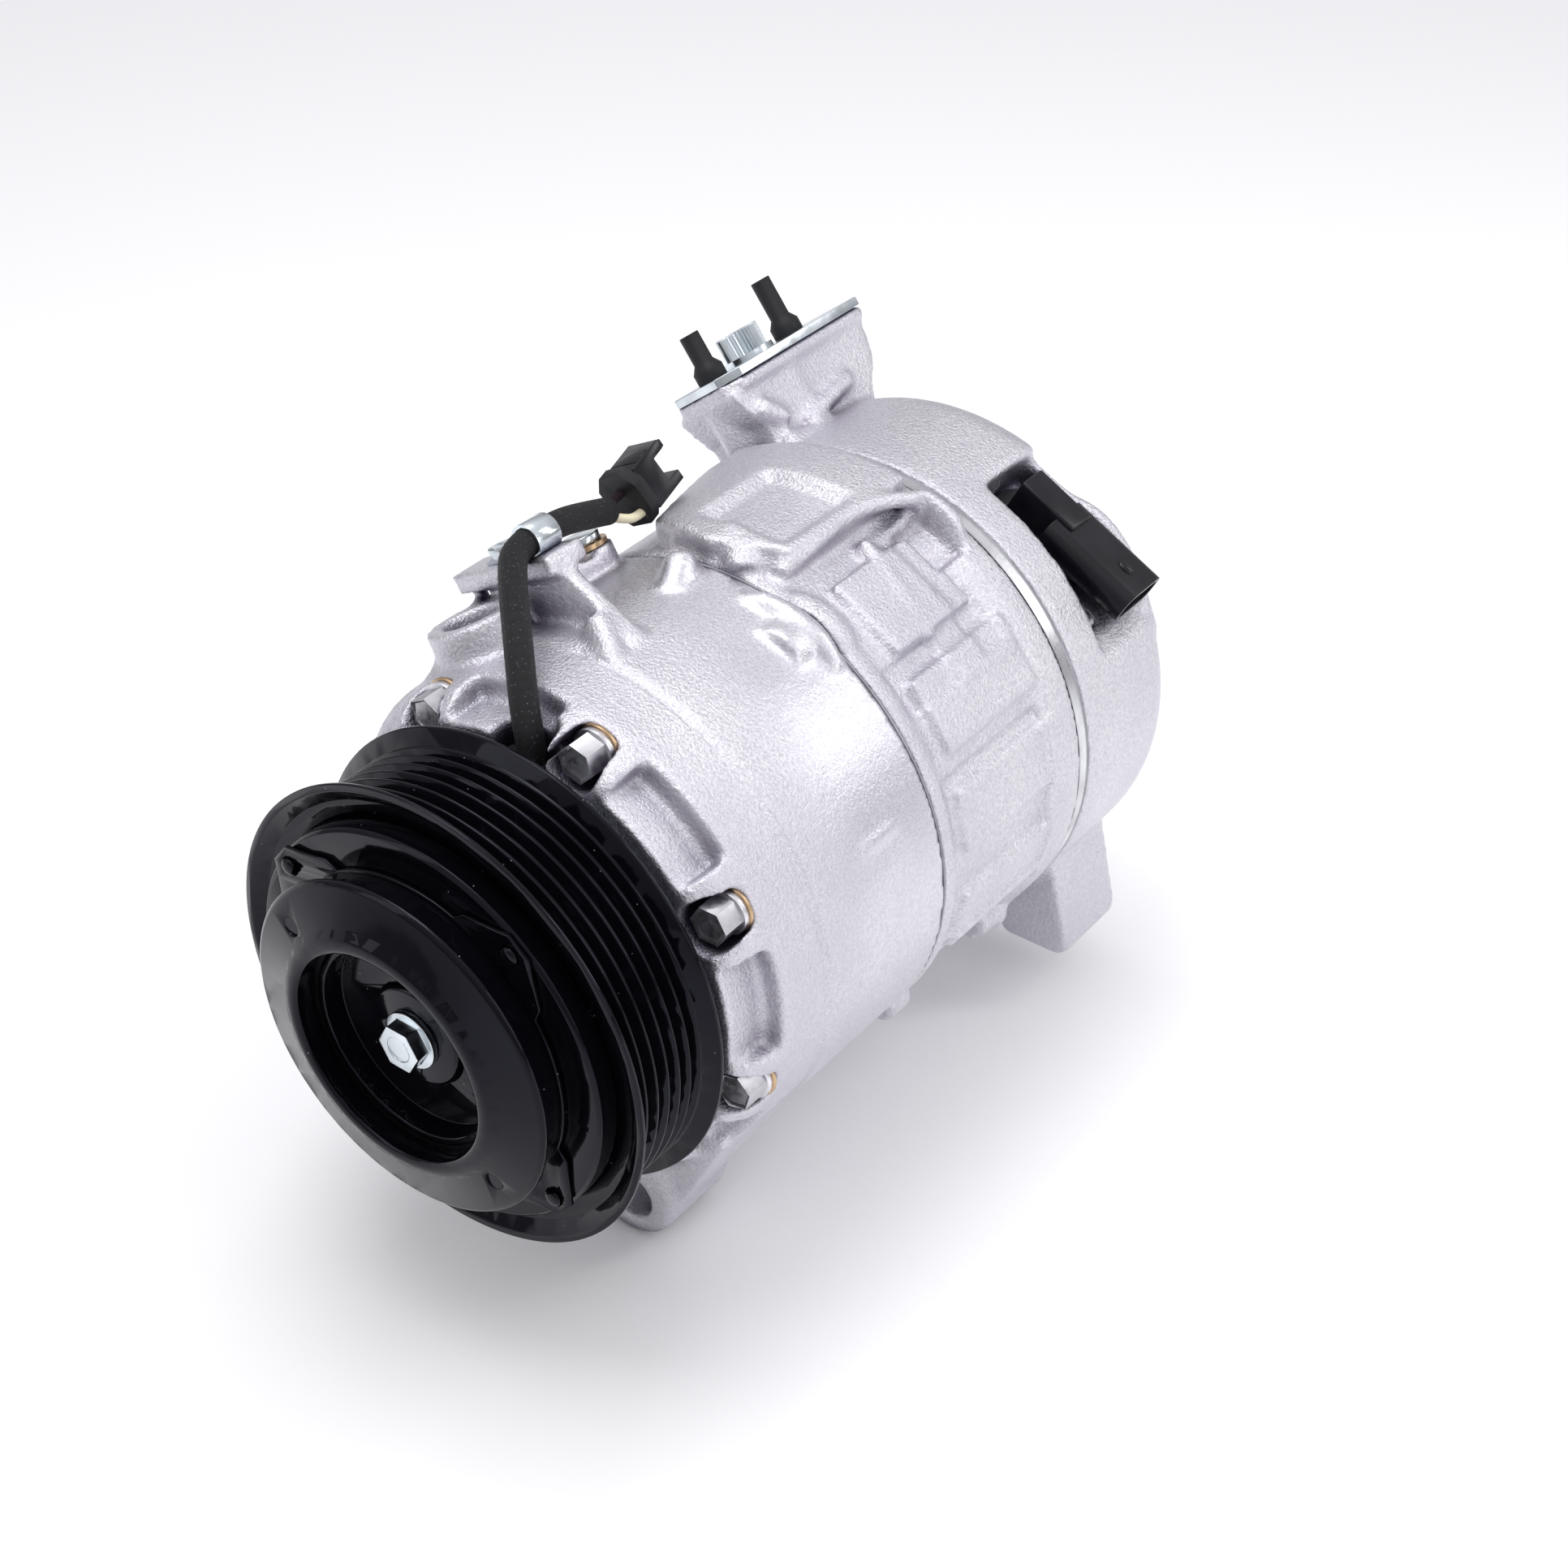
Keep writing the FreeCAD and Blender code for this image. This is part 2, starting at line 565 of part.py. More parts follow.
SLEEVE_ROUTE = [
    (1.6, 19.9, 45.0), (2.0, 19.9, 53.5), (-0.4, 21.0, 61.0), (-8.2, 28.6, 70.4),
    (-21.4, 41.8, 77.0), (-26.8, 49.0, 77.5), (-26.8, 62.0, 77.5), (-28.6, 73.0, 73.8),
    (-30.2, 83.5, 69.6)]
WIRE_ROUTES = [
    [(-30.9, 83.5, 70.9), (-31.7, 87.0, 69.9), (-33.0, 90.5, 69.3), (-33.8, 94.6, 69.6)],
    [(-29.6, 83.5, 68.3), (-28.6, 87.0, 66.5), (-28.0, 90.5, 65.2), (-28.5, 94.6, 65.4)],
]


def lead_exit_hole(name, radius):
    first, second = (FreeCAD.Vector(*p) for p in SLEEVE_ROUTE[:2])
    way = second - first
    return cylinder(name, radius, way.Length, *first, along="z")


def rounded_path(points):
    """Straight runs joined by tangent arcs. Returns the wire and the arc radii."""
    spots = [FreeCAD.Vector(*p) for p in points]
    edges = []
    radii = []
    last = spots[0]
    for before, corner, after in zip(spots, spots[1:], spots[2:]):
        into = corner - before
        out = after - corner
        shorter = min(into.Length, out.Length)
        half_turn = into.getAngle(out) / 2
        reach = 0.45 * shorter
        radii.append(reach / math.tan(half_turn))
        into.normalize()
        out.normalize()
        start = corner - into * reach
        end = corner + out * reach
        inward = out - into
        inward.normalize()
        middle = corner + inward * (radii[-1] / math.cos(half_turn) - radii[-1])
        edges.append(Part.LineSegment(last, start).toShape())
        edges.append(Part.Arc(start, middle, end).toShape())
        last = end
    edges.append(Part.LineSegment(last, spots[-1]).toShape())
    return Part.Wire(edges), radii


def soft_tube(name, points, radius):
    """A round tube along the rounded path."""
    path, radii = rounded_path(points)
    start = FreeCAD.Vector(*points[0])
    way = FreeCAD.Vector(*points[1]) - start
    circle = Part.Wire([Part.Circle(start, way, number(radius)).toShape()])
    solid = path.makePipeShell([circle], True, False)
    expected = math.pi * number(radius) ** 2 * path.Length
    tightest = min(radii)
    print(f"{name}: length {path.Length:.1f} tightest arc {tightest:.1f}"
          f" volume ratio {solid.Volume / expected:.4f}"
          f" radii {[round(r, 1) for r in radii]}")
    thing = doc.addObject("Part::Feature", name)
    thing.Shape = solid
    return thing


def clutch_lead():
    publish("coil_lead_sleeve", soft_tube("sleeve", SLEEVE_ROUTE, s.sleeveRadius))
    wires = [soft_tube(f"wire{i}", route, s.wireRadius) for i, route in enumerate(WIRE_ROUTES)]
    publish("coil_lead_wire_dark", wires[0])
    publish("coil_lead_wire_light", wires[1])
    tall = s.padHalfTall
    wide = s.padHalfWide
    seal = slab("sealBlank", [
        (-wide, 3.6 - tall), (3 - wide, -tall), (wide - 3, -tall), (wide, 3.6 - tall),
        (wide, tall - 3.6), (wide - 3, tall), (3 - wide, tall), (-wide, tall - 3.6)],
        0, s.padThick)
    ways = []
    for i, route in enumerate(WIRE_ROUTES):
        before, end = (FreeCAD.Vector(*p) for p in route[-2:])
        ways.append(wire_way(f"wireWay{i}", before, end))
    publish("lead_connector_seal", cut("seal", connector_place("sealTurned", seal),
                                       group("wireWays", ways)))
    half = s.plugHalfTall
    side = s.plugHalfWide
    rear = s.plugLong
    shell = block("plugShell", (-side, side), (s.padThick, rear - 4), (-half, half))
    mouth = block("plugMouth", (1.3 - side, side - 1.3), (s.padThick + 3, rear - 3),
                  (2.0 - half, half - 2.0))
    prongs = [block(f"prong{i}", (-0.6, 0.6), (s.padThick + 1, rear - 0.5),
                    (high - 0.5, high + 0.5)) for i, high in enumerate((-2.0, 0.6))]
    latches = [block(f"latch{i}", (-side, side), (rear - 4.5, rear), (low, low + 2.6))
               for i, low in enumerate((-5.8, 3.2))]
    plug = fuse("plugSolid", [cut("plugHollow", shell, mouth)] + prongs + latches)
    publish("lead_connector", connector_place("plugTurned", plug))


def wire_way(name, before, end):
    """A round hole that carries on along a wire's last stretch."""
    hole = doc.addObject("Part::Cylinder", name)
    bind(hole, "Radius", s.wireRadius)
    hole.Height = 6
    along = end - before
    along.normalize()
    hole.Placement = FreeCAD.Placement(
        end - along * 3, FreeCAD.Rotation(FreeCAD.Vector(0, 0, 1), along))
    return hole


def connector_place(name, piece):
    """Tips a piece of the connector back and carries it to its seat."""
    tipped = place(group(f"{name}Tipped", [piece]), s.plugAcross, s.plugPlace, s.plugHigh,
                   (1, 0, 0), s.plugTilt)
    return swing(group(name, [tipped]), s.topTurn)


def lead_clamp():
    low = s.lugTop
    front = s.clampPlace - s.clampHalf
    rear = s.clampPlace + s.clampHalf
    inner = s.sleeveRadius + 0.2
    centre_x = s.loopAcross
    centre_z = low + inner
    outer = inner + s.clampThick
    loop = cut("clampLoop",
               cylinder("clampLoopOuter", outer, s.clampHalf * 2, centre_x, front, centre_z),
               cylinder("clampLoopInner", inner, s.clampHalf * 2 + 2, centre_x, front - 1, centre_z))
    loop = cut("clampLoopOpen", loop, block("clampLoopLow", (centre_x - 3, centre_x + 3),
                                            (front - 1, rear + 1), (low - 2, low + 0.02)))
    strip = block("clampStrip", (s.screwAcross - 4, centre_x - 2), (front, rear),
                  (low, low + s.clampThick))
    strip = cut("clampStripCut", strip, cylinder("clampStripWay", inner, s.clampHalf * 2 + 2,
                                                 centre_x, front - 1, centre_z))
    hole = cylinder("clampHole", s.clampScrewShank + 0.1, 4, s.screwAcross, s.clampPlace,
                    low - 1, "z")
    clamp = cut("clampSolid", fuse("clampBlank", [loop, strip]), hole)
    publish("lead_clamp", swing(group("clampTurned", [clamp]), s.topTurn))
    head_low = low + s.clampThick
    head = cylinder("clampHead", s.clampScrewHead, s.clampScrewTall, s.screwAcross,
                    s.clampPlace, head_low, "z")
    slots = [block(f"screwSlot{i}", (s.screwAcross - across, s.screwAcross + across),
                   (s.clampPlace - along, s.clampPlace + along),
                   (head_low + s.clampScrewTall - 1.2, head_low + s.clampScrewTall + 1))
             for i, (across, along) in enumerate(((2.6, 0.5), (0.5, 2.6)))]
    shank = cylinder("clampShank", s.clampScrewShank, s.clampScrewDeep + s.clampThick,
                     s.screwAcross, s.clampPlace, low - s.clampScrewDeep, "z")
    screw = fuse("clampScrewSolid", [cut("clampHeadCut", head, group("screwCross", slots)), shank])
    publish("clamp_screw", swing(group("clampScrewTurned", [screw]), s.topTurn))


# Shaft, lug plate, swash plate, pistons

def spring_coil(name, radius, wire, low, high, turns):
    spine = doc.addObject("Part::Helix", f"{name}Spine")
    bind(spine, "Pitch", (high - low) / turns)
    bind(spine, "Height", high - low)
    bind(spine, "Radius", radius)
    circle = doc.addObject("Part::Circle", f"{name}Wire")
    circle.Radius = wire
    place(circle, radius, 0, 0, (1, 0, 0), 90)
    coil = doc.addObject("Part::Sweep", f"{name}Coil")
    coil.Sections = [circle]
    coil.Spine = (spine, [])
    coil.Solid = True
    coil.Frenet = True
    turned = group(name, [coil])
    return place(turned, 0, low, 0, (-1, 0, 0), 90)


def shaft_parts():
    hole = s.hubBoltShank + 0.05
    clip_front = s.plateMiddle + 19
    publish("drive_shaft", lathe("shaftBlank", [
        (hole, s.shaftFront), (s.splineRadius, s.shaftFront), (s.splineRadius, s.sealRingFront),
        (s.shaftRadius, s.sealRingFront + 0.8), (s.shaftRadius, clip_front),
        (s.shaftRadius - 0.8, clip_front), (s.shaftRadius - 0.8, clip_front + 1.2),
        (s.shaftRadius, clip_front + 1.2), (s.shaftRadius, s.shaftRear), (0, s.shaftRear),
        (0, s.shaftFront + 22), (hole, s.shaftFront + 20)]))
    race_rear = s.frontShellRear + 1.3
    roller_rear = race_rear + 2.0
    publish("thrust_race", tube("thrustRace", s.shaftRadius + 4, 24, s.frontShellRear + 0.2,
                                race_rear))
    publish("thrust_rollers", around("thrustRollers", NEEDLES, 0, lambda title: fuse(
        title, [cylinder(f"{title}Roller", 0.95, 9, 0, race_rear + 1.0, 13.5, "z")])))
    plate_front = roller_rear + 0.02
    disc_rear = plate_front + 8
    disc = lathe("lugDisc", [
        (s.shaftRadius, plate_front), (42, plate_front), (42, disc_rear), (16, disc_rear),
        (13.4, disc_rear + 3), (s.shaftRadius, disc_rear + 3)])
    arms = [block(f"lugArm{i}", (low, low + 4.4), (disc_rear - 1, disc_rear + 12), (14, 23.5))
            for i, low in enumerate((-9, 4.6))]
    pin_place = s.plateMiddle - s.plateThick / 2 - 9
    pin_hole = cylinder("pinHole", 2.55, 24, -12, pin_place, 18.6, "x")
    publish("lug_plate", cut("lugPlate", fuse("lugBlank", [disc] + arms), pin_hole))
    publish("hinge_pin", cylinder("hingePin", 2.5, 17.6, -8.8, pin_place, 18.6, "x"))
    front = s.plateMiddle - s.plateThick / 2
    rear = s.plateMiddle + s.plateThick / 2
    plate = lathe("swashBlank", [
        (s.shaftRadius + s.fit, front - 4), (14, front - 4), (14, front),
        (s.plateRadius - 0.6, front), (s.plateRadius, front + 0.6),
        (s.plateRadius, rear - 0.6), (s.plateRadius - 0.6, rear), (14, rear), (14, rear + 4),
        (s.shaftRadius + s.fit, rear + 4)])
    arm = block("swashArm", (-4.4, 4.4), (pin_place - 3.6, front + 1), (14.4, 22.4))
    slot = block("swashSlot", (-5, 5), (pin_place - 2.55, pin_place + 2.55), (16.0, 21.2))
    publish("swash_plate", cut("swash", fuse("swashSolid", [plate, arm]), slot))
    publish("start_spring", spring_coil("startSpring", s.shaftRadius + 2.2, 0.9,
                                        disc_rear + 4.0, front - 5.0, 2.5))
    publish("return_spring", spring_coil("returnSpring", s.shaftRadius + 2.2, 0.9,
                                         rear + 5.0, clip_front - 1.0, 3.5))
    clip = tube("clipBlank", s.shaftRadius - 0.7, s.shaftRadius + 3, clip_front + 0.05,
                clip_front + 1.15)
    publish("shaft_clip", cut("clip", clip, block("clipGap", (-2.5, 2.5), (80, 90), (4, 14))))


def piston(title):
    radius = s.cylinderRadius - s.pistonPlay
    rod = cylinder(f"{title}Rod", radius, s.pistonRear - s.pistonFront, 0, s.pistonFront,
                   s.cylinderCircle)
    half = s.plateThick / 2 + 0.35
    front = s.plateMiddle - half
    rear = s.plateMiddle + half
    bay = cylinder(f"{title}Bay", s.plateRadius + 0.5, rear - front, 0, front, 0)
    hub = cylinder(f"{title}Hub", s.skirtInner, s.skirtRear - s.pistonFront + 1, 0,
                   s.pistonFront - 1, 0)
    sockets = ball(f"{title}Socket", s.shoeSphere + s.shoePlay, 0, s.plateMiddle,
                   s.cylinderCircle)
    waist = cut(f"{title}Waist",
                cylinder(f"{title}WaistOuter", radius + 1, 20, 0, 79, s.cylinderCircle),
                cylinder(f"{title}WaistInner", radius - 3.5, 22, 0, 78, s.cylinderCircle))
    return cut(title, rod, fuse(f"{title}Tools", [bay, hub, sockets, waist]))


def shoe_pair(title):
    front = s.plateMiddle - s.plateThick / 2 - 0.02
    rear = s.plateMiddle + s.plateThick / 2 + 0.02
    pieces = []
    for i, (low, high) in enumerate(((front - 4.2, front), (rear, rear + 4.2))):
        keep = block(f"{title}Keep{i}", (-9, 9), (low, high),
                     (s.cylinderCircle - 9, s.cylinderCircle + 9))
        pieces.append(common(f"{title}Shoe{i}",
                             ball(f"{title}Ball{i}", s.shoeSphere, 0, s.plateMiddle,
                                  s.cylinderCircle), keep))
    return group(title, pieces)


def pistons():
    publish("pistons", around("pistonSet", CYLINDERS, 90, piston))
    publish("piston_shoes", around("shoeSet", CYLINDERS, 90, shoe_pair))


def radial_bearing(name, front, rear):
    inner = s.shaftRadius + s.needleRadius * 2 + 0.1
    shell = tube(f"{name}Shell", inner, s.bearingShell, front, rear)
    needles = around(f"{name}Needles", NEEDLES, 0, lambda title: fuse(
        title, [cylinder(f"{title}Needle", s.needleRadius, rear - front - 2, 0, front + 1,
                         s.shaftRadius + s.needleRadius + 0.05)]))
    return group(name, [shell, needles])


def shaft_supports():
    publish("needle_bearings", group("needleBearings", [
        radial_bearing("frontBearing", s.frontShellFront, s.frontShellRear),
        radial_bearing("rearBearing", s.rearShellFront, s.rearShellRear)]))
    publish("shaft_seal", lathe("sealRing", [
        (s.shaftRadius + 0.05, s.sealRear - 3), (s.shaftRadius + 2.2, s.sealRear - 6.4),
        (s.shaftRadius + 3.2, s.sealFront), (s.snoutBore, s.sealFront),
        (s.snoutBore, s.sealRear), (s.shaftRadius + 0.6, s.sealRear),
        (s.shaftRadius + 0.05, s.sealRear - 1.6)]))
    ring = tube("sealRingBlank", s.snoutBore - 1.7, s.snoutBore + 0.7, s.sealRingFront,
                s.sealRingFront + 1.0)
    gap = block("sealRingGap", (-3, 3), (0, 8), (9, 16))
    publish("seal_snap_ring", cut("sealSnapRing", ring, gap))


# Castings

def bolt_ways(name, front, rear):
    return ring_holes(name, s.boltHole, s.boltCircle, front, rear - front, BOLTS, s.boltStart)


def front_housing():
    outer = lathe("frontOuter", [
        (0, s.snoutFront), (s.bearingInner - 0.8, s.snoutFront),
        (s.bearingInner, s.snoutFront + 0.8),
        (s.bearingInner, s.bearingFront - s.ringThick - s.ringPlay * 2),
        (s.bearingInner - 1.1, s.bearingFront - s.ringThick - s.ringPlay * 2),
        (s.bearingInner - 1.1, s.bearingFront), (s.bearingInner, s.bearingFront),
        (s.bearingInner, s.shoulderFront), (s.shoulderRadius, s.shoulderFront),
        (s.shoulderRadius, s.coilRear - s.ringThick - s.ringPlay * 2),
        (s.shoulderRadius - 1.0, s.coilRear - s.ringThick - s.ringPlay * 2),
        (s.shoulderRadius - 1.0, s.coilRear), (s.shoulderRadius, s.coilRear),
        (s.shoulderRadius, s.faceFront), (s.coilPlateRadius + 1.0, s.faceFront),
        (s.casingFront - 6.6, s.faceFront + 0.4), (s.casingFront - 4.4, s.faceFront + 2.2),
        (s.casingFront - 2.1, s.faceFront + 6.6), (s.casingFront - 1.2, s.faceFront + 13),
        (s.casingFront - 0.9, s.stepPlace), (s.casingFront - 0.2, s.stepPlace + 0.8),
        (s.casingFront, s.frontEnd), (0, s.frontEnd)])
    outer = sector_slots(outer, [
        (s.pocketInner, s.faceFront - 2), (s.pocketOuter, s.faceFront - 2),
        (s.pocketOuter, s.pocketFloor), (s.pocketInner, s.pocketFloor)],
        25, BOLTS, 22.5 + number(s.boltStart))
    void = lathe("frontVoid", [
        (0, s.snoutFront - 1), (s.snoutBore, s.snoutFront - 1),
        (s.snoutBore, s.sealRingFront - 0.05), (s.snoutBore + 0.8, s.sealRingFront - 0.05),
        (s.snoutBore + 0.8, s.sealRingFront + 1.05), (s.snoutBore, s.sealRingFront + 1.05),
        (s.snoutBore, s.sealRear), (s.shaftRadius + 1.4, s.sealRear),
        (s.shaftRadius + 1.4, s.frontShellFront), (s.bearingShell, s.frontShellFront),
        (s.bearingShell, s.frontShellRear + 0.2), (44, s.frontShellRear + 0.2),
        (s.crankRadius, s.crankFront), (s.crankRadius, s.frontEnd + 1), (0, s.frontEnd + 1)])
    ear_length = s.topEarFace - s.earRoot
    upper = [
        cylinder("topEar", s.topEarRadius, ear_length, s.topEarAcross, s.topEarPlace,
                 s.earRoot, "z"),
        side_plate("topEarWeb", [(30, s.earRoot), (30, 60), (36, 65), (52, 66), (66, 60),
                                 (72, s.earRoot)], s.topEarAcross - 9, 16),
        block("lug", (s.lugLeft, s.lugRight), (s.lugFront, s.lugRear),
              (s.lugTop - s.lugThick, s.lugTop)),
        block("lugNeck", (-7, 9), (54.5, s.lugRear - 0.5), (s.earRoot, s.lugTop - 1)),
        slab("lugRib", [(-9, 50), (-9, 66), (-4, s.lugTop - 2.4), (18.5, s.lugTop - 3),
                        (33.0, 54), (31, 46)], s.lugRibFront + 6, s.lugRibThick),
        side_plate("drainRib", [(s.lugRear - 4, s.earRoot), (s.lugRear - 4, s.lugTop - 3),
                                (s.drainPlace, s.drainTop - 3), (s.drainPlace, s.earRoot)], 1.6, 3),
        cylinder("drainBoss", s.drainBoss, s.drainTop - s.earRoot, s.drainAcross, s.drainPlace,
                 s.earRoot, "z"),
        side_plate("frontRib", [(24, s.earRoot), (24, 58), (40, 66), (s.lugFront + 6, 72),
                                (s.lugFront + 6, s.earRoot)], -12.5, 3.2)]
    upper = swing(fuse("upperLugs", upper), s.topTurn)
    boss_top = group("jointBossTop", [swing(
        fuse("jointBossSolid", [cylinder("jointBossTube", 8.4, s.frontEnd - 76, 0, 76,
                                         s.boltCircle + 1)]), 67)])
    ear = [cylinder("lowerEar", s.lowerEarRadius, s.lowerEarLength, s.lowerEarX - 0.6,
                    s.lowerEarFront, s.lowerEarZ + 2.6),
           slab("lowerWeb", [(-2, -50), (3.4, -70), (30.6, -71), (36, -62), (47, -41), (40, -36)],
                s.lowerEarFront + 1.2, s.lowerEarLength + 8)]
    solid = fuse("frontSolid", [outer, upper, boss_top] + ear)
    bar = swing(fuse("castBar", [block("castBarBlock", (-0.9, 0.9), (62, 74), (60, 63.6))]), 24)
    solid = fuse("frontWithBar", [solid, bar])
    ways = [
        void, bolt_ways("frontBoltWays", s.faceFront - 6, s.frontEnd + 1),
        ring_holes("counterbores", s.counterbore, s.boltCircle, s.faceFront - 6,
                   s.boltSeat - s.faceFront + 6, BOLTS, s.boltStart),
        swing(fuse("topBores", [
            cylinder("topEarBore", s.topEarBore, s.topEarFace - s.topEarFloor + 3,
                     s.topEarAcross, s.topEarPlace, s.topEarFloor, "z"),
            cylinder("lugHole", s.clampScrewShank, s.clampScrewDeep, s.screwAcross,
                     s.clampPlace, s.lugTop - s.clampScrewDeep, "z"),
            cylinder("drainHole", s.drainThread, s.drainDeep, s.drainAcross, s.drainPlace,
                     s.drainTop - s.drainDeep, "z")]), s.topTurn),
        cylinder("lowerEarWay", s.lowerEarBore, s.lowerEarLength + 20, s.lowerEarX,
                 s.lowerEarFront - 2, s.lowerEarZ),
        block("leadNotch", (-6.5, 7.5), (s.faceFront - 1, s.faceFront + 7.4), (41, 70))]
    publish("front_housing", cut("frontHousing", solid, fuse("frontWays", ways)))


def drain_plug():
    top = s.drainTop
    washer = cylinder("drainRing", s.drainWasher, s.drainWasherThick, s.drainAcross,
                      s.drainPlace, top, "z")
    hole = cylinder("drainRingHole", s.drainThread, 4, s.drainAcross, s.drainPlace, top - 1, "z")
    publish("drain_plug_washer", swing(group("drainWasherTurned", [
        cut("drainWasherSolid", washer, hole)]), s.topTurn))
    seat = top + s.drainWasherThick
    head = cylinder("drainHeadDisc", s.drainHead, s.drainHeadTall, s.drainAcross,
                    s.drainPlace, seat, "z")
    shank = cylinder("drainShank", s.drainThread, s.drainDeep - 1 + s.drainWasherThick,
                     s.drainAcross, s.drainPlace, top - s.drainDeep + 1, "z")
    publish("drain_plug", swing(group("drainPlugTurned", [
        fuse("drainPlugSolid", [head, shank])]), s.topTurn))


def cylinder_block():
    front = s.frontEnd + s.gasketThick
    outer = lathe("blockOuter", [
        (0, front), (s.casingFront, front), (s.casingFront, front + 4),
        (s.casingFront - 1.0, front + 6), (s.casingFront - 0.8, s.blockEnd - 12),
        (s.casingRear, s.blockEnd - 7), (s.casingRear, s.blockEnd), (0, s.blockEnd)])
    hump = common("humpShape", swing(fuse("humpSolid", [
        sheet_plate("humpLow", [(-14, front + 6), (6, front + 1), (23, front + 9),
                                (24, s.blockEnd - 2), (-26, s.blockEnd - 2),
                                (-26, s.blockEnd - 16)], 50, 24)]), 100),
                  cylinder("humpTop", s.humpRadius, s.blockEnd - front, 0, front, 0))
    pads = []
    for title, angle, low, high, half, tall in (
            ("upperPad", 61, front + 12, s.blockEnd - 14, 10.5, 64.0),
            ("middlePad", 37, front + 10, s.blockEnd - 10, 9.5, 64.2),
            ("lowerPad", 13, front + 9, s.blockEnd - 9, 8.5, 64.0),
            ("underPad", -14, front + 9, s.blockEnd - 9, 9.5, 64.0)):
        pads.append(swing(fuse(f"{title}Solid", [
            block(title, (-half, half), (low, high), (50, tall))]), angle))
    boss = swing(fuse("blockBoss", [
        cylinder("blockBossTube", 8.4, 6, 0, front, s.boltCircle + 1)]), 67)
    lugs = [swing(fuse(f"castLug{i}", [
        cylinder(f"castLugTube{i}", 5.2, length, 0, low, 62.4)]), angle)
        for i, (angle, low, length) in enumerate(((-47, front + 3, 9), (-42, front + 38, 10)))]
    bank = group("lugPair", [
        swing(fuse(f"topLug{i}", [cylinder(f"topLugTube{i}", 4.6, 11, 0, front + 0.5, 62.6)]), angle)
        for i, angle in enumerate((91, 99))])
    solid = fuse("blockSolid", [outer, hump, boss, bank] + pads + lugs)
    void = lathe("blockVoid", [
        (0, front - 1), (s.shaftRadius + 4, front - 1), (s.shaftRadius + 4, s.rearShellFront - 3),
        (s.shaftRadius + 1, s.rearShellFront - 3), (s.shaftRadius + 1, s.rearShellFront),
        (s.bearingShell, s.rearShellFront), (s.bearingShell, s.shaftRear + 2.6),
        (5, s.shaftRear + 2.6), (5, s.blockEnd + 1), (0, s.blockEnd + 1)])
    bores = ring_holes("cylinderBores", s.cylinderRadius, s.cylinderCircle, front - 1,
                       s.blockEnd - front + 2, CYLINDERS, 90)
    ways = fuse("blockWays", [void, bores, bolt_ways("blockBoltWays", front - 1, s.blockEnd + 1)])
    publish("cylinder_block", cut("cylinderBlock", solid, ways))


def disc_with_ports(node, title, front, thick, outer, circles):
    disc = cylinder(f"{title}Disc", outer, thick, 0, front, 0)
    ways = [bolt_ways(f"{title}BoltWays", front - 1, front + thick + 1),
            cylinder(f"{title}Centre", 3, thick + 2, 0, front - 1, 0)]
    for i, (radius, circle) in enumerate(circles):
        ways.append(ring_holes(f"{title}Ports{i}", radius, circle, front - 1, thick + 2,
                               CYLINDERS, 90))
    publish(node, cut(title, disc, fuse(f"{title}Ways", ways)))


def joint_plates():
    front = s.frontEnd
    ring = tube("frontGasketRing", s.crankRadius, s.casingFront - 0.3, front,
                front + s.gasketThick)
    ways = bolt_ways("gasketBoltWays", front - 1, front + 2)
    publish("front_gasket", cut("frontGasket", ring, ways))
    place_now = s.blockEnd
    disc_with_ports("suction_reed_plate", "suctionReeds", place_now, s.reedThick,
                    s.plateEdge, [(2.6, 28.5)])
    place_now = place_now + s.reedThick
    disc_with_ports("valve_plate", "valvePlate", place_now, s.portPlateThick, s.plateEdge,
                    [(2.6, 28.5), (4.2, 42.0)])
    place_now = place_now + s.portPlateThick
    disc_with_ports("discharge_reed_plate", "dischargeReeds", place_now, s.reedThick,
                    s.plateEdge, [(4.2, 42.0)])
    place_now = place_now + s.reedThick
    ring = fuse("retainerBlank", [
        tube("retainerRim", s.chamberRadius, s.plateEdge, place_now,
             place_now + s.retainerThick),
        tube("retainerInner", s.dischargeRadius, s.dischargeRadius + s.chamberWall,
             place_now, place_now + s.retainerThick),
        block("retainerArm", (-2, 2), (place_now, place_now + s.retainerThick),
              (s.dischargeRadius + 1, s.chamberRadius + 1))])
    ways = bolt_ways("retainerBoltWays", place_now - 1, place_now + 2)
    publish("retainer_gasket", cut("retainerGasket", ring, ways))
    return place_now + s.retainerThick


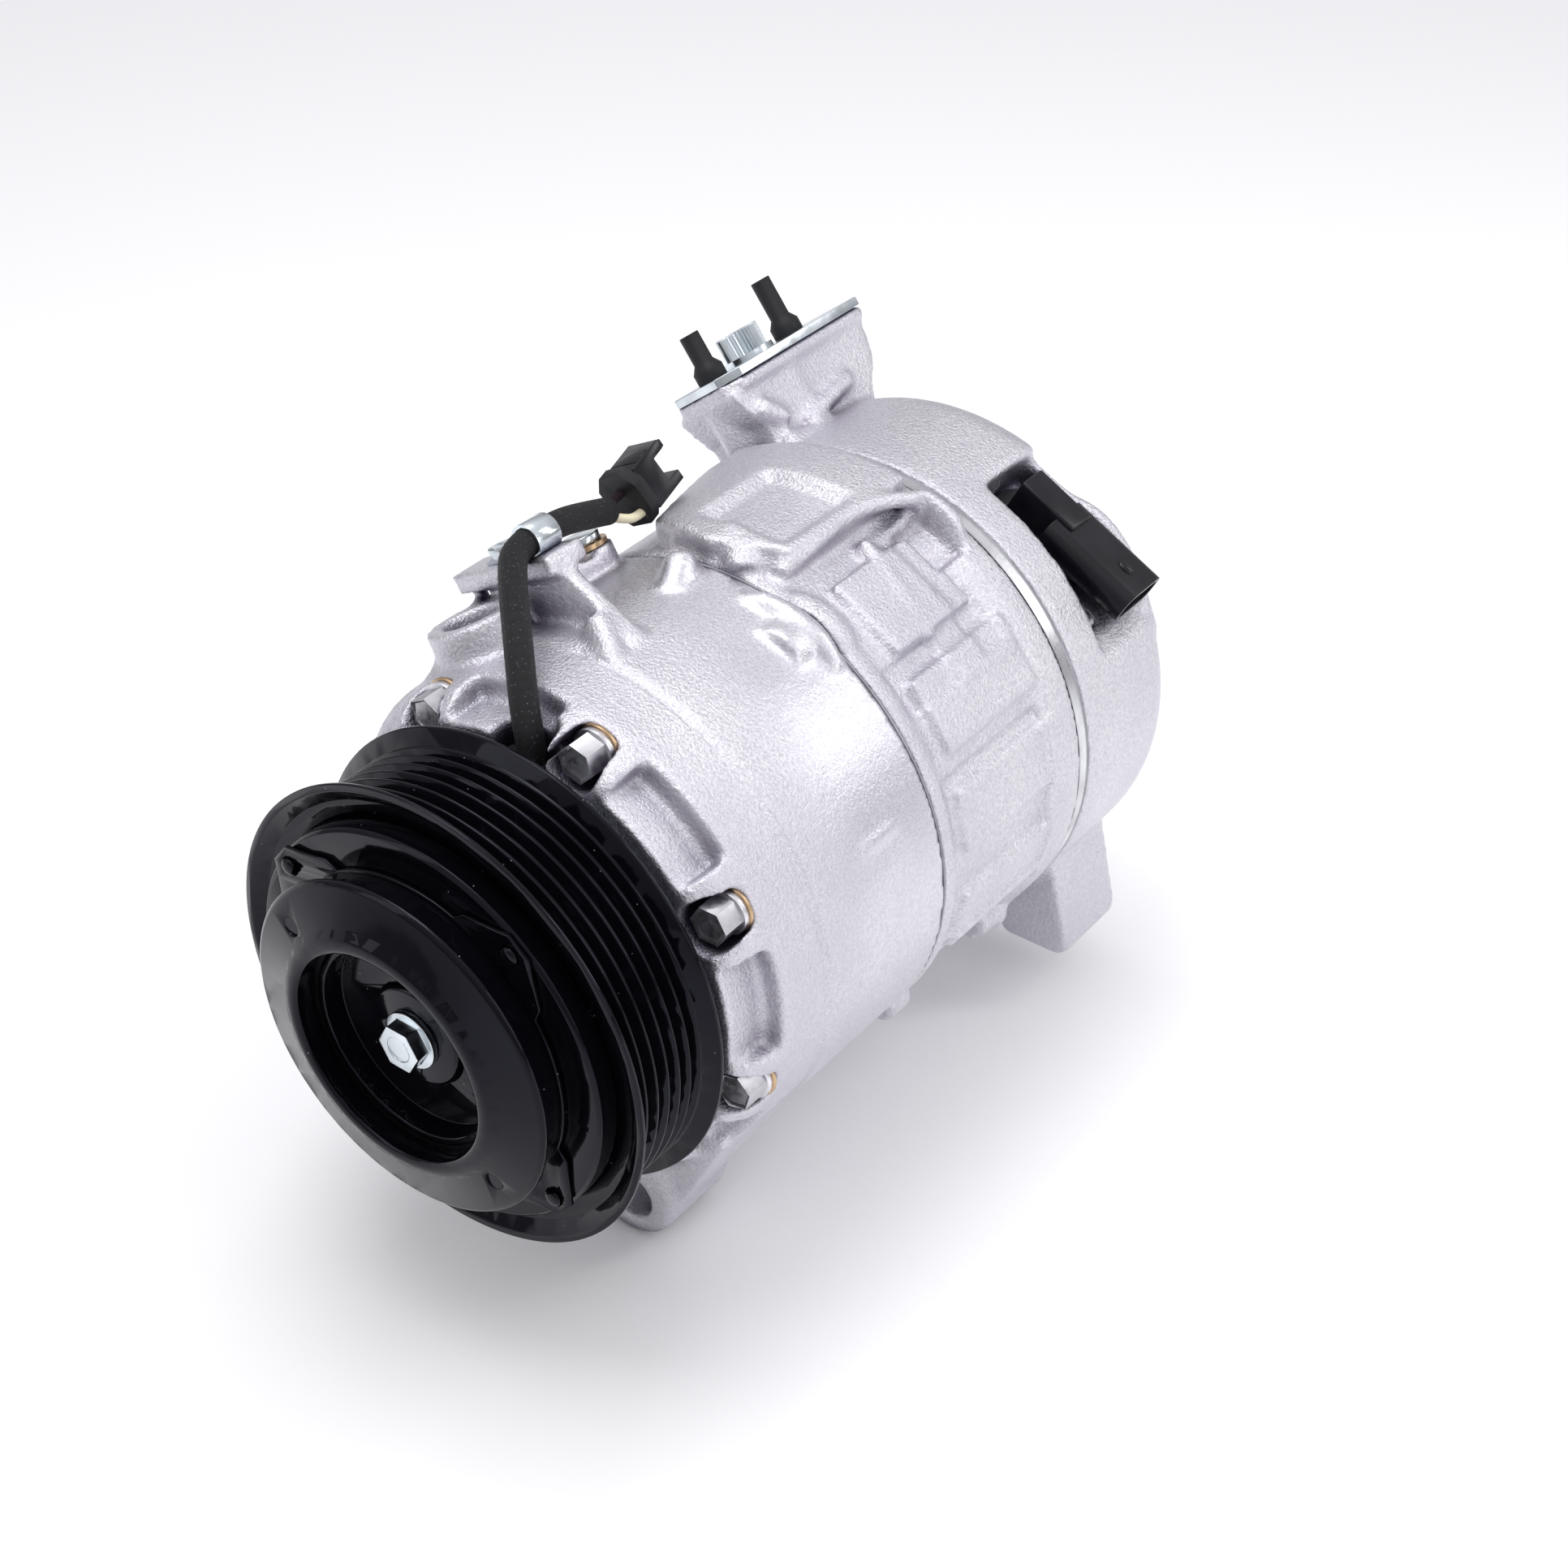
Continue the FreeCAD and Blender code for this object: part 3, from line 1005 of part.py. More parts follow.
def rear_housing(front):
    outer = lathe("rearOuter", [
        (0, front), (s.casingRear, front), (s.casingRear, s.rearEnd - 7),
        (s.casingRear - 1.2, s.rearEnd - 3), (s.casingRear - 4.2, s.rearEnd - 0.6),
        (s.casingRear - 8, s.rearEnd), (0, s.rearEnd)])
    flange_low = s.flangeTop - s.flangeTall
    neck = side_plate("portNeck", [
        (front + 1.2, 40), (front + 1.2, 70), (front - 4, flange_low),
        (s.plateRear - 4, flange_low), (s.plateRear - 6, 71), (s.plateRear - 13, 63),
        (s.rearEnd + 2, 58), (s.rearEnd - 0.4, 50), (s.rearEnd - 0.4, 40)], -11, 22)
    corner = 5
    flange = sheet_plate("portFlange", [
        (-s.plateHalf, s.plateFront + corner), (-s.plateHalf + corner, s.plateFront),
        (s.plateHalf - corner, s.plateFront), (s.plateHalf, s.plateFront + corner),
        (s.plateHalf, s.plateRear - corner), (s.plateHalf - corner, s.plateRear),
        (-s.plateHalf + corner, s.plateRear), (-s.plateHalf, s.plateRear - corner)],
        flange_low, s.flangeTall)
    screw_boss = cylinder("screwBoss", 8.2, 24, 3.4, s.portScrewPlace, flange_low - 23, "z")
    port = swing(fuse("portBlock", [neck, flange, screw_boss]), s.portTurn)
    foot = slab("foot", [
        (s.footLeft - 4, -34), (50, -36), (s.footRight + 0.6, s.footBottom + 2.4),
        (s.footRight - 1.6, s.footBottom), (s.footLeft + 1, s.footBottom),
        (s.footLeft - 1, s.footBottom + 2)], s.footFront, s.footRear - s.footFront)
    pocket = swing(fuse("valvePocket", [
        block("pocketLowCut", (-8, 44), (s.pocketFrontWall, s.pocketRearWall),
              (s.pocketLow, 80)),
        block("pocketHighCut", (-8, 24), (s.pocketFrontWall + 6, s.rearEnd + 4),
              (s.pocketHigh, 80)),
        cylinder("valveWay", s.valveBore, 80, s.valveAcross, s.valvePlace, s.valveBottom - 2,
                 "z")]), s.valveTurn)
    chamber = lathe("chamber", [
        (s.dischargeRadius + s.chamberWall, front - 1), (s.chamberRadius, front - 1),
        (s.chamberRadius, s.chamberEnd), (s.dischargeRadius + s.chamberWall, s.chamberEnd)])
    centre = cylinder("dischargeChamber", s.dischargeRadius, s.chamberEnd - front + 1, 0,
                      front - 1, 0)
    ports = swing(fuse("portBores", [
        cylinder("suctionWay", s.suctionBore, s.portDeep + 2, 0, s.suctionPlace,
                 s.flangeTop - s.portDeep, "z"),
        cylinder("dischargeWay", s.dischargeBore, s.portDeep + 2, 0, s.dischargePlace,
                 s.flangeTop - s.portDeep, "z"),
        cylinder("portScrewWay", s.portScrewShank, s.portScrewDeep + 2, 0,
                 s.portScrewPlace, s.flangeTop - s.portScrewDeep, "z")]), s.portTurn)
    foot_hole = cylinder("footWay", s.footHole, s.footDepth, 46.5,
                         (s.footFront + s.footRear) / 2, s.footBottom, "z")
    solid = fuse("rearSolid", [outer, port, foot])
    tools = [pocket, chamber, centre, ports, foot_hole,
             ring_holes("rearBoltWays", s.boltShank, s.boltCircle, front - 1,
                        s.boltDepth - front + 3, BOLTS, s.boltStart)]
    publish("rear_housing", cut("rearHousing", solid, fuse("rearWays", tools)))


def through_bolts():
    def bolt(title):
        head_front = s.boltSeat - s.washerThick - 1.5 - s.boltHeadTall
        return fuse(title, [
            hexagon(f"{title}Hex", s.boltHexHalf, s.boltHeadTall, 0, head_front, s.boltCircle),
            cylinder(f"{title}Flange", s.boltFlange, 1.5, 0,
                     head_front + s.boltHeadTall, s.boltCircle),
            cylinder(f"{title}Shank", s.boltShank, s.boltDepth - s.boltSeat + s.washerThick,
                     0, s.boltSeat - s.washerThick, s.boltCircle)])

    def washer(title):
        front = s.boltSeat - s.washerThick
        return cut(title,
                   cylinder(f"{title}Disc", s.washerRadius, s.washerThick, 0, front,
                            s.boltCircle),
                   cylinder(f"{title}Way", s.boltShank + 0.1, s.washerThick + 2, 0,
                            front - 1, s.boltCircle))

    publish("through_bolts", around("boltSet", BOLTS, s.boltStart, bolt))
    publish("sealing_washers", around("washerSet", BOLTS, s.boltStart, washer))


# Port cover and plugs

def port_cover():
    corner = 5
    top = s.flangeTop
    plate = sheet_plate("coverPlate", [
        (-s.plateHalf, s.plateFront + corner), (-s.plateHalf + corner, s.plateFront),
        (s.plateHalf - corner, s.plateFront), (s.plateHalf, s.plateFront + corner),
        (s.plateHalf, s.plateRear - corner), (s.plateHalf - corner, s.plateRear),
        (-s.plateHalf + corner, s.plateRear), (-s.plateHalf, s.plateRear - corner)],
        top, s.shipPlate)
    ways = [cylinder(f"coverWay{i}", radius, 6, 0, spot, top - 1, "z")
            for i, (radius, spot) in enumerate((
                (s.capPlug + s.capPlay, s.dischargePlace), (s.capPlug + s.capPlay, s.suctionPlace),
                (s.portScrewShank + 0.2, s.portScrewPlace)))]
    publish("port_cover_plate", swing(group("coverTurned", [
        cut("coverSolid", plate, group("coverWays", ways))]), s.portTurn))
    face = top + s.shipPlate
    caps = []
    for i, (spot, tall) in enumerate(((s.dischargePlace, s.capShort), (s.suctionPlace, s.capTall))):
        taper = doc.addObject("Part::Cone", f"capTaper{i}")
        bind(taper, "Radius1", s.capSkirt)
        bind(taper, "Radius2", s.capStem)
        taper.Height = 2.0
        place(taper, 0, spot, face + 3.0)
        caps.append(fuse(f"cap{i}", [
            cylinder(f"capSkirt{i}", s.capSkirt, 3.0, 0, spot, face, "z"), taper,
            cylinder(f"capStem{i}", s.capStem, tall, 0, spot, face, "z"),
            cylinder(f"capPlug{i}", s.capPlug, 8, 0, spot, face - 8, "z")]))
    publish("port_caps", swing(group("capPair", caps), s.portTurn))
    head_low = face + s.screwFlangeTall
    head = fuse("portScrewHead", [
        cylinder("portScrewKnurl", s.portScrewHead, s.portScrewTall, 0, s.portScrewPlace,
                 head_low, "z"),
        cylinder("portScrewFlange", s.screwFlange, s.screwFlangeTall, 0, s.portScrewPlace,
                 face, "z"),
        cylinder("portScrewShank", s.portScrewShank, s.portScrewDeep - 1 + s.shipPlate, 0,
                 s.portScrewPlace, top - s.portScrewDeep + 1, "z")])
    key = hexagon("portScrewKey", s.hexKey, 5, 0, s.portScrewPlace,
                  head_low + s.portScrewTall - 4, "z")
    publish("port_screw", swing(group("portScrewTurned", [
        cut("portScrewSolid", head, key)]), s.portTurn))


# Control valve and its connector

def control_valve():
    radius = s.valveBore - s.valvePlay
    body = fuse("valveBody", [
        cylinder("valveTube", radius, s.valveTop - 18, s.valveAcross, s.valvePlace, 18, "z"),
        cylinder("valveNose", radius - 3, 12, s.valveAcross, s.valvePlace, s.valveBottom, "z")])
    publish("control_valve", swing(group("valveTurned", [body]), s.valveTurn))
    ring = cut("valveRing",
               cylinder("valveRingOuter", s.valveBore, 1.2, s.valveAcross, s.valvePlace,
                        s.valveTop + 0.05, "z"),
               cylinder("valveRingInner", s.headRadius + 0.05, 4, s.valveAcross, s.valvePlace,
                        s.valveTop - 1, "z"))
    gap = block("valveRingGap", (-2, 6), (s.valvePlace, s.valvePlace + 14),
                (s.valveTop - 1, s.valveTop + 3))
    publish("valve_snap_ring", swing(group("valveRingTurned", [
        cut("valveRingSolid", ring, gap)]), s.valveTurn))
    head = cylinder("valveHead", s.headRadius, s.headTop - s.valveTop, s.valveAcross,
                    s.valvePlace, s.valveTop, "z")
    housing = side_plate("socketBlock", [
        (s.blockFront, s.headTop - 3), (s.blockRear, s.headTop - 3), (s.blockRear, s.blockTop),
        (s.blockFront, s.blockTop)], s.blockLeft, s.blockRight - s.blockLeft)
    middle = (s.blockFront + s.blockRear) / 2
    half = s.socketHalf
    tall = s.socketTall

    def oval(title, grow, left, length):
        corner = 2.6
        wide = half + grow
        high = tall + grow
        return side_plate(title, [
            (middle - wide, s.socketHigh - high + corner),
            (middle - wide + corner, s.socketHigh - high),
            (middle + wide - corner, s.socketHigh - high),
            (middle + wide, s.socketHigh - high + corner),
            (middle + wide, s.socketHigh + high - corner),
            (middle + wide - corner, s.socketHigh + high),
            (middle - wide + corner, s.socketHigh + high),
            (middle - wide, s.socketHigh + high - corner)], left, length)

    shell = oval("socketShell", 0, s.blockRight - 4, s.socketEnd - s.blockRight + 4)
    hollow = oval("socketHollow", -s.socketWall, s.socketEnd - s.socketDeep, s.socketDeep + 1)
    plastic = cut("socketSolid", fuse("socketJoined", [head, housing, shell]), hollow)
    pins = [block(f"socketPin{i}", (s.socketEnd - s.socketDeep - 3, s.socketEnd - 5),
                  (middle + side - 1.1, middle + side + 1.1),
                  (s.socketHigh - s.pinThick / 2, s.socketHigh + s.pinThick / 2))
            for i, side in enumerate((-2.8, 2.8))]
    plastic = cut("valveSocketSolid", plastic, group("pinWays", pins))
    publish("valve_connector", swing(group("valveSocketTurned", [plastic]), s.valveTurn))
    publish("valve_connector_pins", swing(group("pinsTurned", pins), s.valveTurn))


pulley()
pulley_bearing()
snout_rings()
clutch_hub()
clutch_front()
field_coil()
clutch_lead()
lead_clamp()
shaft_parts()
pistons()
shaft_supports()
front_housing()
drain_plug()
cylinder_block()
rear_front = joint_plates()
rear_housing(rear_front)
through_bolts()
port_cover()
control_valve()

doc.recompute()

faults = []
for thing in doc.Objects:
    if "Invalid" in thing.State or "Error" in thing.State:
        faults.append(f"{thing.Name}: {thing.State}")
for thing in published:
    if thing.Shape.isNull() or not thing.Shape.isValid():
        faults.append(f"{thing.Label}: its shape is not valid")
if faults:
    sys.exit("\n".join(faults))

os.makedirs("parts", exist_ok=True)
for thing in published:
    thing.Shape.exportStep(f"parts/{thing.Label}.step")
print(f"{len(published)} nodes written")
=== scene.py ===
import json
import math

import bmesh
import bpy
from mathutils import Matrix, Vector

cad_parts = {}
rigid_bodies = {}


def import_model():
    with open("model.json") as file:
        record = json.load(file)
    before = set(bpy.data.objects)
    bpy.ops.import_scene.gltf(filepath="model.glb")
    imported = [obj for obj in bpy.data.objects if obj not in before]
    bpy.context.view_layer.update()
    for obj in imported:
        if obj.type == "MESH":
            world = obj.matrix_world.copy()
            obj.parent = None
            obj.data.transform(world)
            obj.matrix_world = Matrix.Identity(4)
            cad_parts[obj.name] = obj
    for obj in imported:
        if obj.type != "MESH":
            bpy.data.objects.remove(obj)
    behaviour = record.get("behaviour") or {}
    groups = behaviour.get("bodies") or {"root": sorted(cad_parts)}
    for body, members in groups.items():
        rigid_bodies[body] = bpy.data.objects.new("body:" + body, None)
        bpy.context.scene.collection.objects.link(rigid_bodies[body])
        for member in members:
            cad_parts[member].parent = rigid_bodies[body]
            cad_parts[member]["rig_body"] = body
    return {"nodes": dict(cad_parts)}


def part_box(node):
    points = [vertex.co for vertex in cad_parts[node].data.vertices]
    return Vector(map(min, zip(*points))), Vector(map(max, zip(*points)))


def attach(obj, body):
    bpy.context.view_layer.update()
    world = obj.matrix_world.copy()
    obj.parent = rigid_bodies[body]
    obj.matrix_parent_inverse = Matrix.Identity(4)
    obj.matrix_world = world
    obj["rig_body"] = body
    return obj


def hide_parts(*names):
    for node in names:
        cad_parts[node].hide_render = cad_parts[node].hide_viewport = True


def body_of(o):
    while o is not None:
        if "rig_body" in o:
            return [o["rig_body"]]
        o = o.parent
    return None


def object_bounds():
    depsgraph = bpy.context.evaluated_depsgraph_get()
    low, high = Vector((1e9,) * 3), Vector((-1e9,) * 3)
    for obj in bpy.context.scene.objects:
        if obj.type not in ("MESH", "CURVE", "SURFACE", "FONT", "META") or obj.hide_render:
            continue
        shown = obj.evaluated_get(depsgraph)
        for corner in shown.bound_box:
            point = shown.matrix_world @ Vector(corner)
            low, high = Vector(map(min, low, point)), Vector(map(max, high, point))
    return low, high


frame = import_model()
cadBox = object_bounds()
nodes = frame["nodes"]
mm = 0.001
print("frame loaded,", len(nodes), "CAD pieces")

view = {"spot": (0.3094, -0.3003, 0.3676), "back": (0.4852, -0.6438, 0.5917), "lens": 59.35}

eye = bpy.data.cameras.new("eye")
eye.lens = view["lens"]
eye.sensor_width = 36
eye.clip_start = 0.02
eyeHolder = bpy.data.objects.new("eye", eye)
eyeHolder.location = view["spot"]
eyeHolder.rotation_euler = Vector(view["back"]).to_track_quat("Z", "Y").to_euler()
bpy.context.scene.collection.objects.link(eyeHolder)
bpy.context.scene.camera = eyeHolder

light = {
    "skyTop": 0.92, "skyEdge": 0.30,
    "boxes": [  # name, where it stands, width, height, power
        ("topBox", (-0.12, 0.02, 0.75), 0.55, 0.40, 2.7),
        ("frontBox", (-0.45, -0.55, 0.35), 0.25, 0.60, 0.5),
        ("rightBox", (0.75, 0.10, 0.30), 0.30, 0.55, 1.1),
        ("rimBox", (0.48, 0.62, 0.46), 0.16, 0.50, 1.3),
    ],
}

aim = Vector((0, 0.08, 0))
for name, spot, width, height, power in light["boxes"]:
    lamp = bpy.data.lights.new(name, "AREA")
    lamp.shape = "RECTANGLE"
    lamp.size = width
    lamp.size_y = height
    lamp.energy = power
    lampHolder = bpy.data.objects.new(name, lamp)
    lampHolder.location = spot
    lampHolder.rotation_euler = (Vector(spot) - aim).to_track_quat("Z", "Y").to_euler()
    bpy.context.scene.collection.objects.link(lampHolder)

world = bpy.data.worlds.new("studio")
world.use_nodes = True
sky = world.node_tree  # brighter overhead than at the edges
skyCoords = sky.nodes.new("ShaderNodeTexCoord")
skyParts = sky.nodes.new("ShaderNodeSeparateXYZ")
skyRamp = sky.nodes.new("ShaderNodeMapRange")
skyRamp.inputs["From Min"].default_value = 0.0
skyRamp.inputs["From Max"].default_value = 0.9
skyRamp.inputs["To Min"].default_value = light["skyEdge"]
skyRamp.inputs["To Max"].default_value = light["skyTop"]
sky.links.new(skyCoords.outputs["Generated"], skyParts.inputs[0])
sky.links.new(skyParts.outputs["Z"], skyRamp.inputs["Value"])
sky.links.new(skyRamp.outputs["Result"], sky.nodes["Background"].inputs["Strength"])
sky.nodes["Background"].inputs["Color"].default_value = (0.97, 0.97, 1.0, 1)
bpy.context.scene.world = world
bpy.context.scene.view_settings.view_transform = "Standard"


def newFinish(name, colour, metal=0.0, rough=0.5, coat=0.0):
    made = bpy.data.materials.new(name)
    made.use_nodes = True
    shader = made.node_tree.nodes["Principled BSDF"]
    shader.inputs["Base Color"].default_value = (*colour, 1)
    shader.inputs["Metallic"].default_value = metal
    shader.inputs["Roughness"].default_value = rough
    shader.inputs["Coat Weight"].default_value = coat
    return made


def joinUp(made, source, target):
    made.node_tree.links.new(source, target)


def pattern(made, kind, scale, stretch=(1, 1, 1), source="Object", **settings):
    tree = made.node_tree
    coords = tree.nodes.new("ShaderNodeTexCoord")
    mapping = tree.nodes.new("ShaderNodeMapping")
    mapping.inputs["Scale"].default_value = stretch
    texture = tree.nodes.new(kind)
    texture.inputs["Scale"].default_value = scale
    for key, value in settings.items():
        texture.inputs[key].default_value = value
    tree.links.new(coords.outputs[source], mapping.inputs["Vector"])
    tree.links.new(mapping.outputs["Vector"], texture.inputs["Vector"])
    return texture.outputs["Distance" if kind == "ShaderNodeTexVoronoi" else 0]


def remap(made, source, low, high, outLow=0.0, outHigh=1.0):
    ramp = made.node_tree.nodes.new("ShaderNodeMapRange")
    ramp.inputs["From Min"].default_value = low
    ramp.inputs["From Max"].default_value = high
    ramp.inputs["To Min"].default_value = outLow
    ramp.inputs["To Max"].default_value = outHigh
    joinUp(made, source, ramp.inputs["Value"])
    return ramp.outputs["Result"]


def times(made, first, second):
    product = made.node_tree.nodes.new("ShaderNodeMath")
    product.operation = "MULTIPLY"
    joinUp(made, first, product.inputs[0])
    joinUp(made, second, product.inputs[1])
    return product.outputs[0]


def blendColours(made, factor, first, second):
    mix = made.node_tree.nodes.new("ShaderNodeMix")
    mix.data_type = "RGBA"
    joinUp(made, factor, mix.inputs[0])
    for place, colour in ((6, first), (7, second)):
        if isinstance(colour, tuple):
            mix.inputs[place].default_value = (*colour, 1)
        else:
            joinUp(made, colour, mix.inputs[place])
    return mix.outputs[2]


def shaderOf(made):
    return made.node_tree.nodes["Principled BSDF"]


def relief(made, *layers):  # each layer is (height, millimetres)
    normal = None
    for height, deep in layers:
        bump = made.node_tree.nodes.new("ShaderNodeBump")
        bump.inputs["Strength"].default_value = 1.0
        bump.inputs["Distance"].default_value = deep * mm
        joinUp(made, height, bump.inputs["Height"])
        if normal is not None:
            joinUp(made, normal, bump.inputs["Normal"])
        normal = bump.outputs["Normal"]
    joinUp(made, normal, shaderOf(made).inputs["Normal"])


def shade(made, reach):  # AO mask for painted shade: 1 in the open, 0 deep in a corner
    hollow = made.node_tree.nodes.new("ShaderNodeAmbientOcclusion")
    hollow.samples = 6
    hollow.inputs["Distance"].default_value = reach * mm
    return hollow.outputs["AO"]


castSkin = {
    "grain": 1250, "sparkle": 2600, "cloud": 26, "reach": 11,
    # the last colour is painted shade, laid into corners and recesses
    "light": (0.78, 0.765, 0.80), "dull": (0.60, 0.585, 0.645), "hollow": (0.10, 0.085, 0.135),
}


def castFinish(name, grainDeep, smoothBand=None):
    made = newFinish(name, castSkin["light"], metal=0.88, rough=0.42)
    grain = pattern(made, "ShaderNodeTexNoise", castSkin["grain"], Detail=3.0, Roughness=0.65)
    sparkle = pattern(made, "ShaderNodeTexVoronoi", castSkin["sparkle"])
    cloud = pattern(made, "ShaderNodeTexNoise", castSkin["cloud"], Detail=4.0)
    cloudy = remap(made, cloud, 0.35, 0.65, 0.25, 1.0)
    grainSheenAndTone = times(made, remap(made, grain, 0.36, 0.62), cloudy)  # painted sheen on the blasted grain peaks and painted shade between them, varied at random by the cloud
    body = blendColours(made, grainSheenAndTone, castSkin["dull"], castSkin["light"])
    # painted shade: the base colour darkens to a brown-lavender in corners and recesses, by the AO
    # mask
    cornerShadeMask = remap(made, shade(made, castSkin["reach"]), 0.18, 0.80)
    body = blendColours(made, cornerShadeMask, castSkin["hollow"], body)
    joinUp(made, body, shaderOf(made).inputs["Base Color"])
    joinUp(made, remap(made, sparkle, 0.1, 0.7, 0.20, 0.46), shaderOf(made).inputs["Roughness"])
    height = grain
    if smoothBand:  # a tumbled, smoother stretch along the barrel
        coords = made.node_tree.nodes.new("ShaderNodeTexCoord")
        parts = made.node_tree.nodes.new("ShaderNodeSeparateXYZ")
        joinUp(made, coords.outputs["Object"], parts.inputs[0])
        calm = remap(made, parts.outputs["Y"], smoothBand[0] * mm, smoothBand[1] * mm, 1.0, 0.35)
        height = times(made, grain, calm)
    relief(made, (cloud, 0.25), (height, grainDeep))
    return made


def metalFinish(name, colour, rough, scratch=0.006, grain=420, stretch=(1, 1, 1), metal=1.0):
    made = newFinish(name, colour, metal=metal, rough=rough)
    streak = pattern(made, "ShaderNodeTexNoise", grain, stretch, Detail=4.0, Roughness=0.6)
    stain = pattern(made, "ShaderNodeTexNoise", 90, Detail=3.0)
    dull = tuple(c * 0.72 for c in colour)
    joinUp(made, blendColours(made, remap(made, stain, 0.38, 0.62), dull, colour),
           shaderOf(made).inputs["Base Color"])
    joinUp(made, remap(made, streak, 0.3, 0.7, rough * 0.7, rough * 1.35),
           shaderOf(made).inputs["Roughness"])
    relief(made, (streak, scratch))
    return made


def paintFinish(name, colour, rough, peel, dust):
    made = newFinish(name, colour, rough=rough)
    shaderOf(made).inputs["Specular IOR Level"].default_value = 0.22
    shaderOf(made).inputs["Specular Tint"].default_value = (0.80, 0.82, 1.0, 1)
    skin = pattern(made, "ShaderNodeTexNoise", 330, Detail=2.0)
    specks = pattern(made, "ShaderNodeTexVoronoi", 260)
    haze = pattern(made, "ShaderNodeTexNoise", 55, Detail=4.0)
    fleck = remap(made, specks, 0.02, 0.045, dust, 0.0)
    paled = blendColours(made, fleck, colour, (0.55, 0.55, 0.58))
    joinUp(made, paled, shaderOf(made).inputs["Base Color"])
    joinUp(made, remap(made, haze, 0.3, 0.7, rough * 0.75, rough * 1.5),
           shaderOf(made).inputs["Roughness"])
    relief(made, (skin, peel))
    return made


def plasticFinish(name, colour, rough, grain, deep):
    made = newFinish(name, colour, rough=rough)
    shaderOf(made).inputs["Specular IOR Level"].default_value = 0.32
    tooth = pattern(made, "ShaderNodeTexNoise", grain, Detail=3.0)
    wear = pattern(made, "ShaderNodeTexNoise", 70, Detail=5.0)
    pale = tuple(min(1.0, c * 1.5 + 0.005) for c in colour)
    joinUp(made, blendColours(made, remap(made, wear, 0.45, 0.75), colour, pale),
           shaderOf(made).inputs["Base Color"])
    joinUp(made, remap(made, wear, 0.3, 0.7, rough * 0.8, rough * 1.2),
           shaderOf(made).inputs["Roughness"])
    relief(made, (tooth, deep))
    return made


def braidFinish(name, around, along):
    made = newFinish(name, (0.012, 0.012, 0.014), rough=0.62)
    tree = made.node_tree
    coords = tree.nodes.new("ShaderNodeUVMap")
    weave = []
    for lean in (1, -1):  # two sets of yarns cross
        turn = tree.nodes.new("ShaderNodeMapping")
        turn.inputs["Scale"].default_value = (around, along, 1)
        turn.inputs["Rotation"].default_value = (0, 0, lean * math.radians(45))
        wave = tree.nodes.new("ShaderNodeTexWave")
        wave.inputs["Scale"].default_value = 1.0
        wave.inputs["Distortion"].default_value = 0.6
        wave.inputs["Detail"].default_value = 2.0
        joinUp(made, coords.outputs["UV"], turn.inputs["Vector"])
        joinUp(made, turn.outputs["Vector"], wave.inputs["Vector"])
        weave.append(wave.outputs["Fac"])
    yarn = times(made, weave[0], weave[1])
    # pale lavender specks, kept to the yarn crests only
    crestSpecks = pattern(made, "ShaderNodeTexVoronoi", 900)
    fleck = remap(made, crestSpecks, 0.10, 0.22, 0.9, 0.0)
    # painted shade: the gaps between yarns are darker than the yarn crests
    shown = blendColours(made, remap(made, yarn, 0.1, 0.8), (0.003, 0.003, 0.004),
                         (0.020, 0.019, 0.026))
    shown = blendColours(made, times(made, fleck, yarn), shown, (0.50, 0.48, 0.62))
    joinUp(made, shown, shaderOf(made).inputs["Base Color"])
    relief(made, (yarn, 0.40))
    return made


finish = {
    "cast_aluminium": castFinish("shotBlastedCasting", 0.46),
    "turned_aluminium": metalFinish("turnedAluminium", (0.86, 0.86, 0.88), 0.26, 0.01, 900,
                                    (1, 14, 1)),
    "black_steel": paintFinish("glossBlackPaint", (0.0022, 0.0022, 0.0036), 0.075, 0.004, 0.6),
    "zinc_steel": metalFinish("brightZinc", (0.78, 0.84, 0.88), 0.20, 0.006, 380),
    "bolt_steel": metalFinish("greyBoltSteel", (0.80, 0.79, 0.83), 0.36, 0.014, 700),
    "machined_steel": metalFinish("machinedSteel", (0.74, 0.74, 0.77), 0.28, 0.008, 900,
                                  (1, 12, 1)),
    "bearing_steel": metalFinish("bearingSteel", (0.70, 0.70, 0.72), 0.14, 0.003, 700),
    "spring_steel": metalFinish("springSteel", (0.60, 0.60, 0.63), 0.30, 0.006, 700),
    "copper": metalFinish("bronzedCopper", (0.58, 0.41, 0.25), 0.32, 0.008, 500),
    "contact_brass": metalFinish("tinnedBrass", (0.82, 0.72, 0.48), 0.24, 0.004, 600),
    "black_rubber": plasticFinish("mattRubber", (0.007, 0.007, 0.009), 0.52, 1500, 0.020),
    "gasket_grey": plasticFinish("gasketCoating", (0.26, 0.26, 0.29), 0.55, 900, 0.010),
    "black_plastic": plasticFinish("mouldedNylon", (0.005, 0.005, 0.008), 0.30, 1100, 0.010),
    "potting_plastic": plasticFinish("pottingResin", (0.035, 0.022, 0.014), 0.40, 500, 0.012),
    "dark_insulation": plasticFinish("darkInsulation", (0.020, 0.013, 0.016), 0.42, 1200, 0.006),
    "light_insulation": plasticFinish("creamInsulation", (0.72, 0.64, 0.46), 0.45, 1200, 0.006),
    "braided_sleeve": braidFinish("braidedSleeve", 10, 47),
}
barrelSkin = castFinish("smoothedBarrel", 0.44, (46, 66))

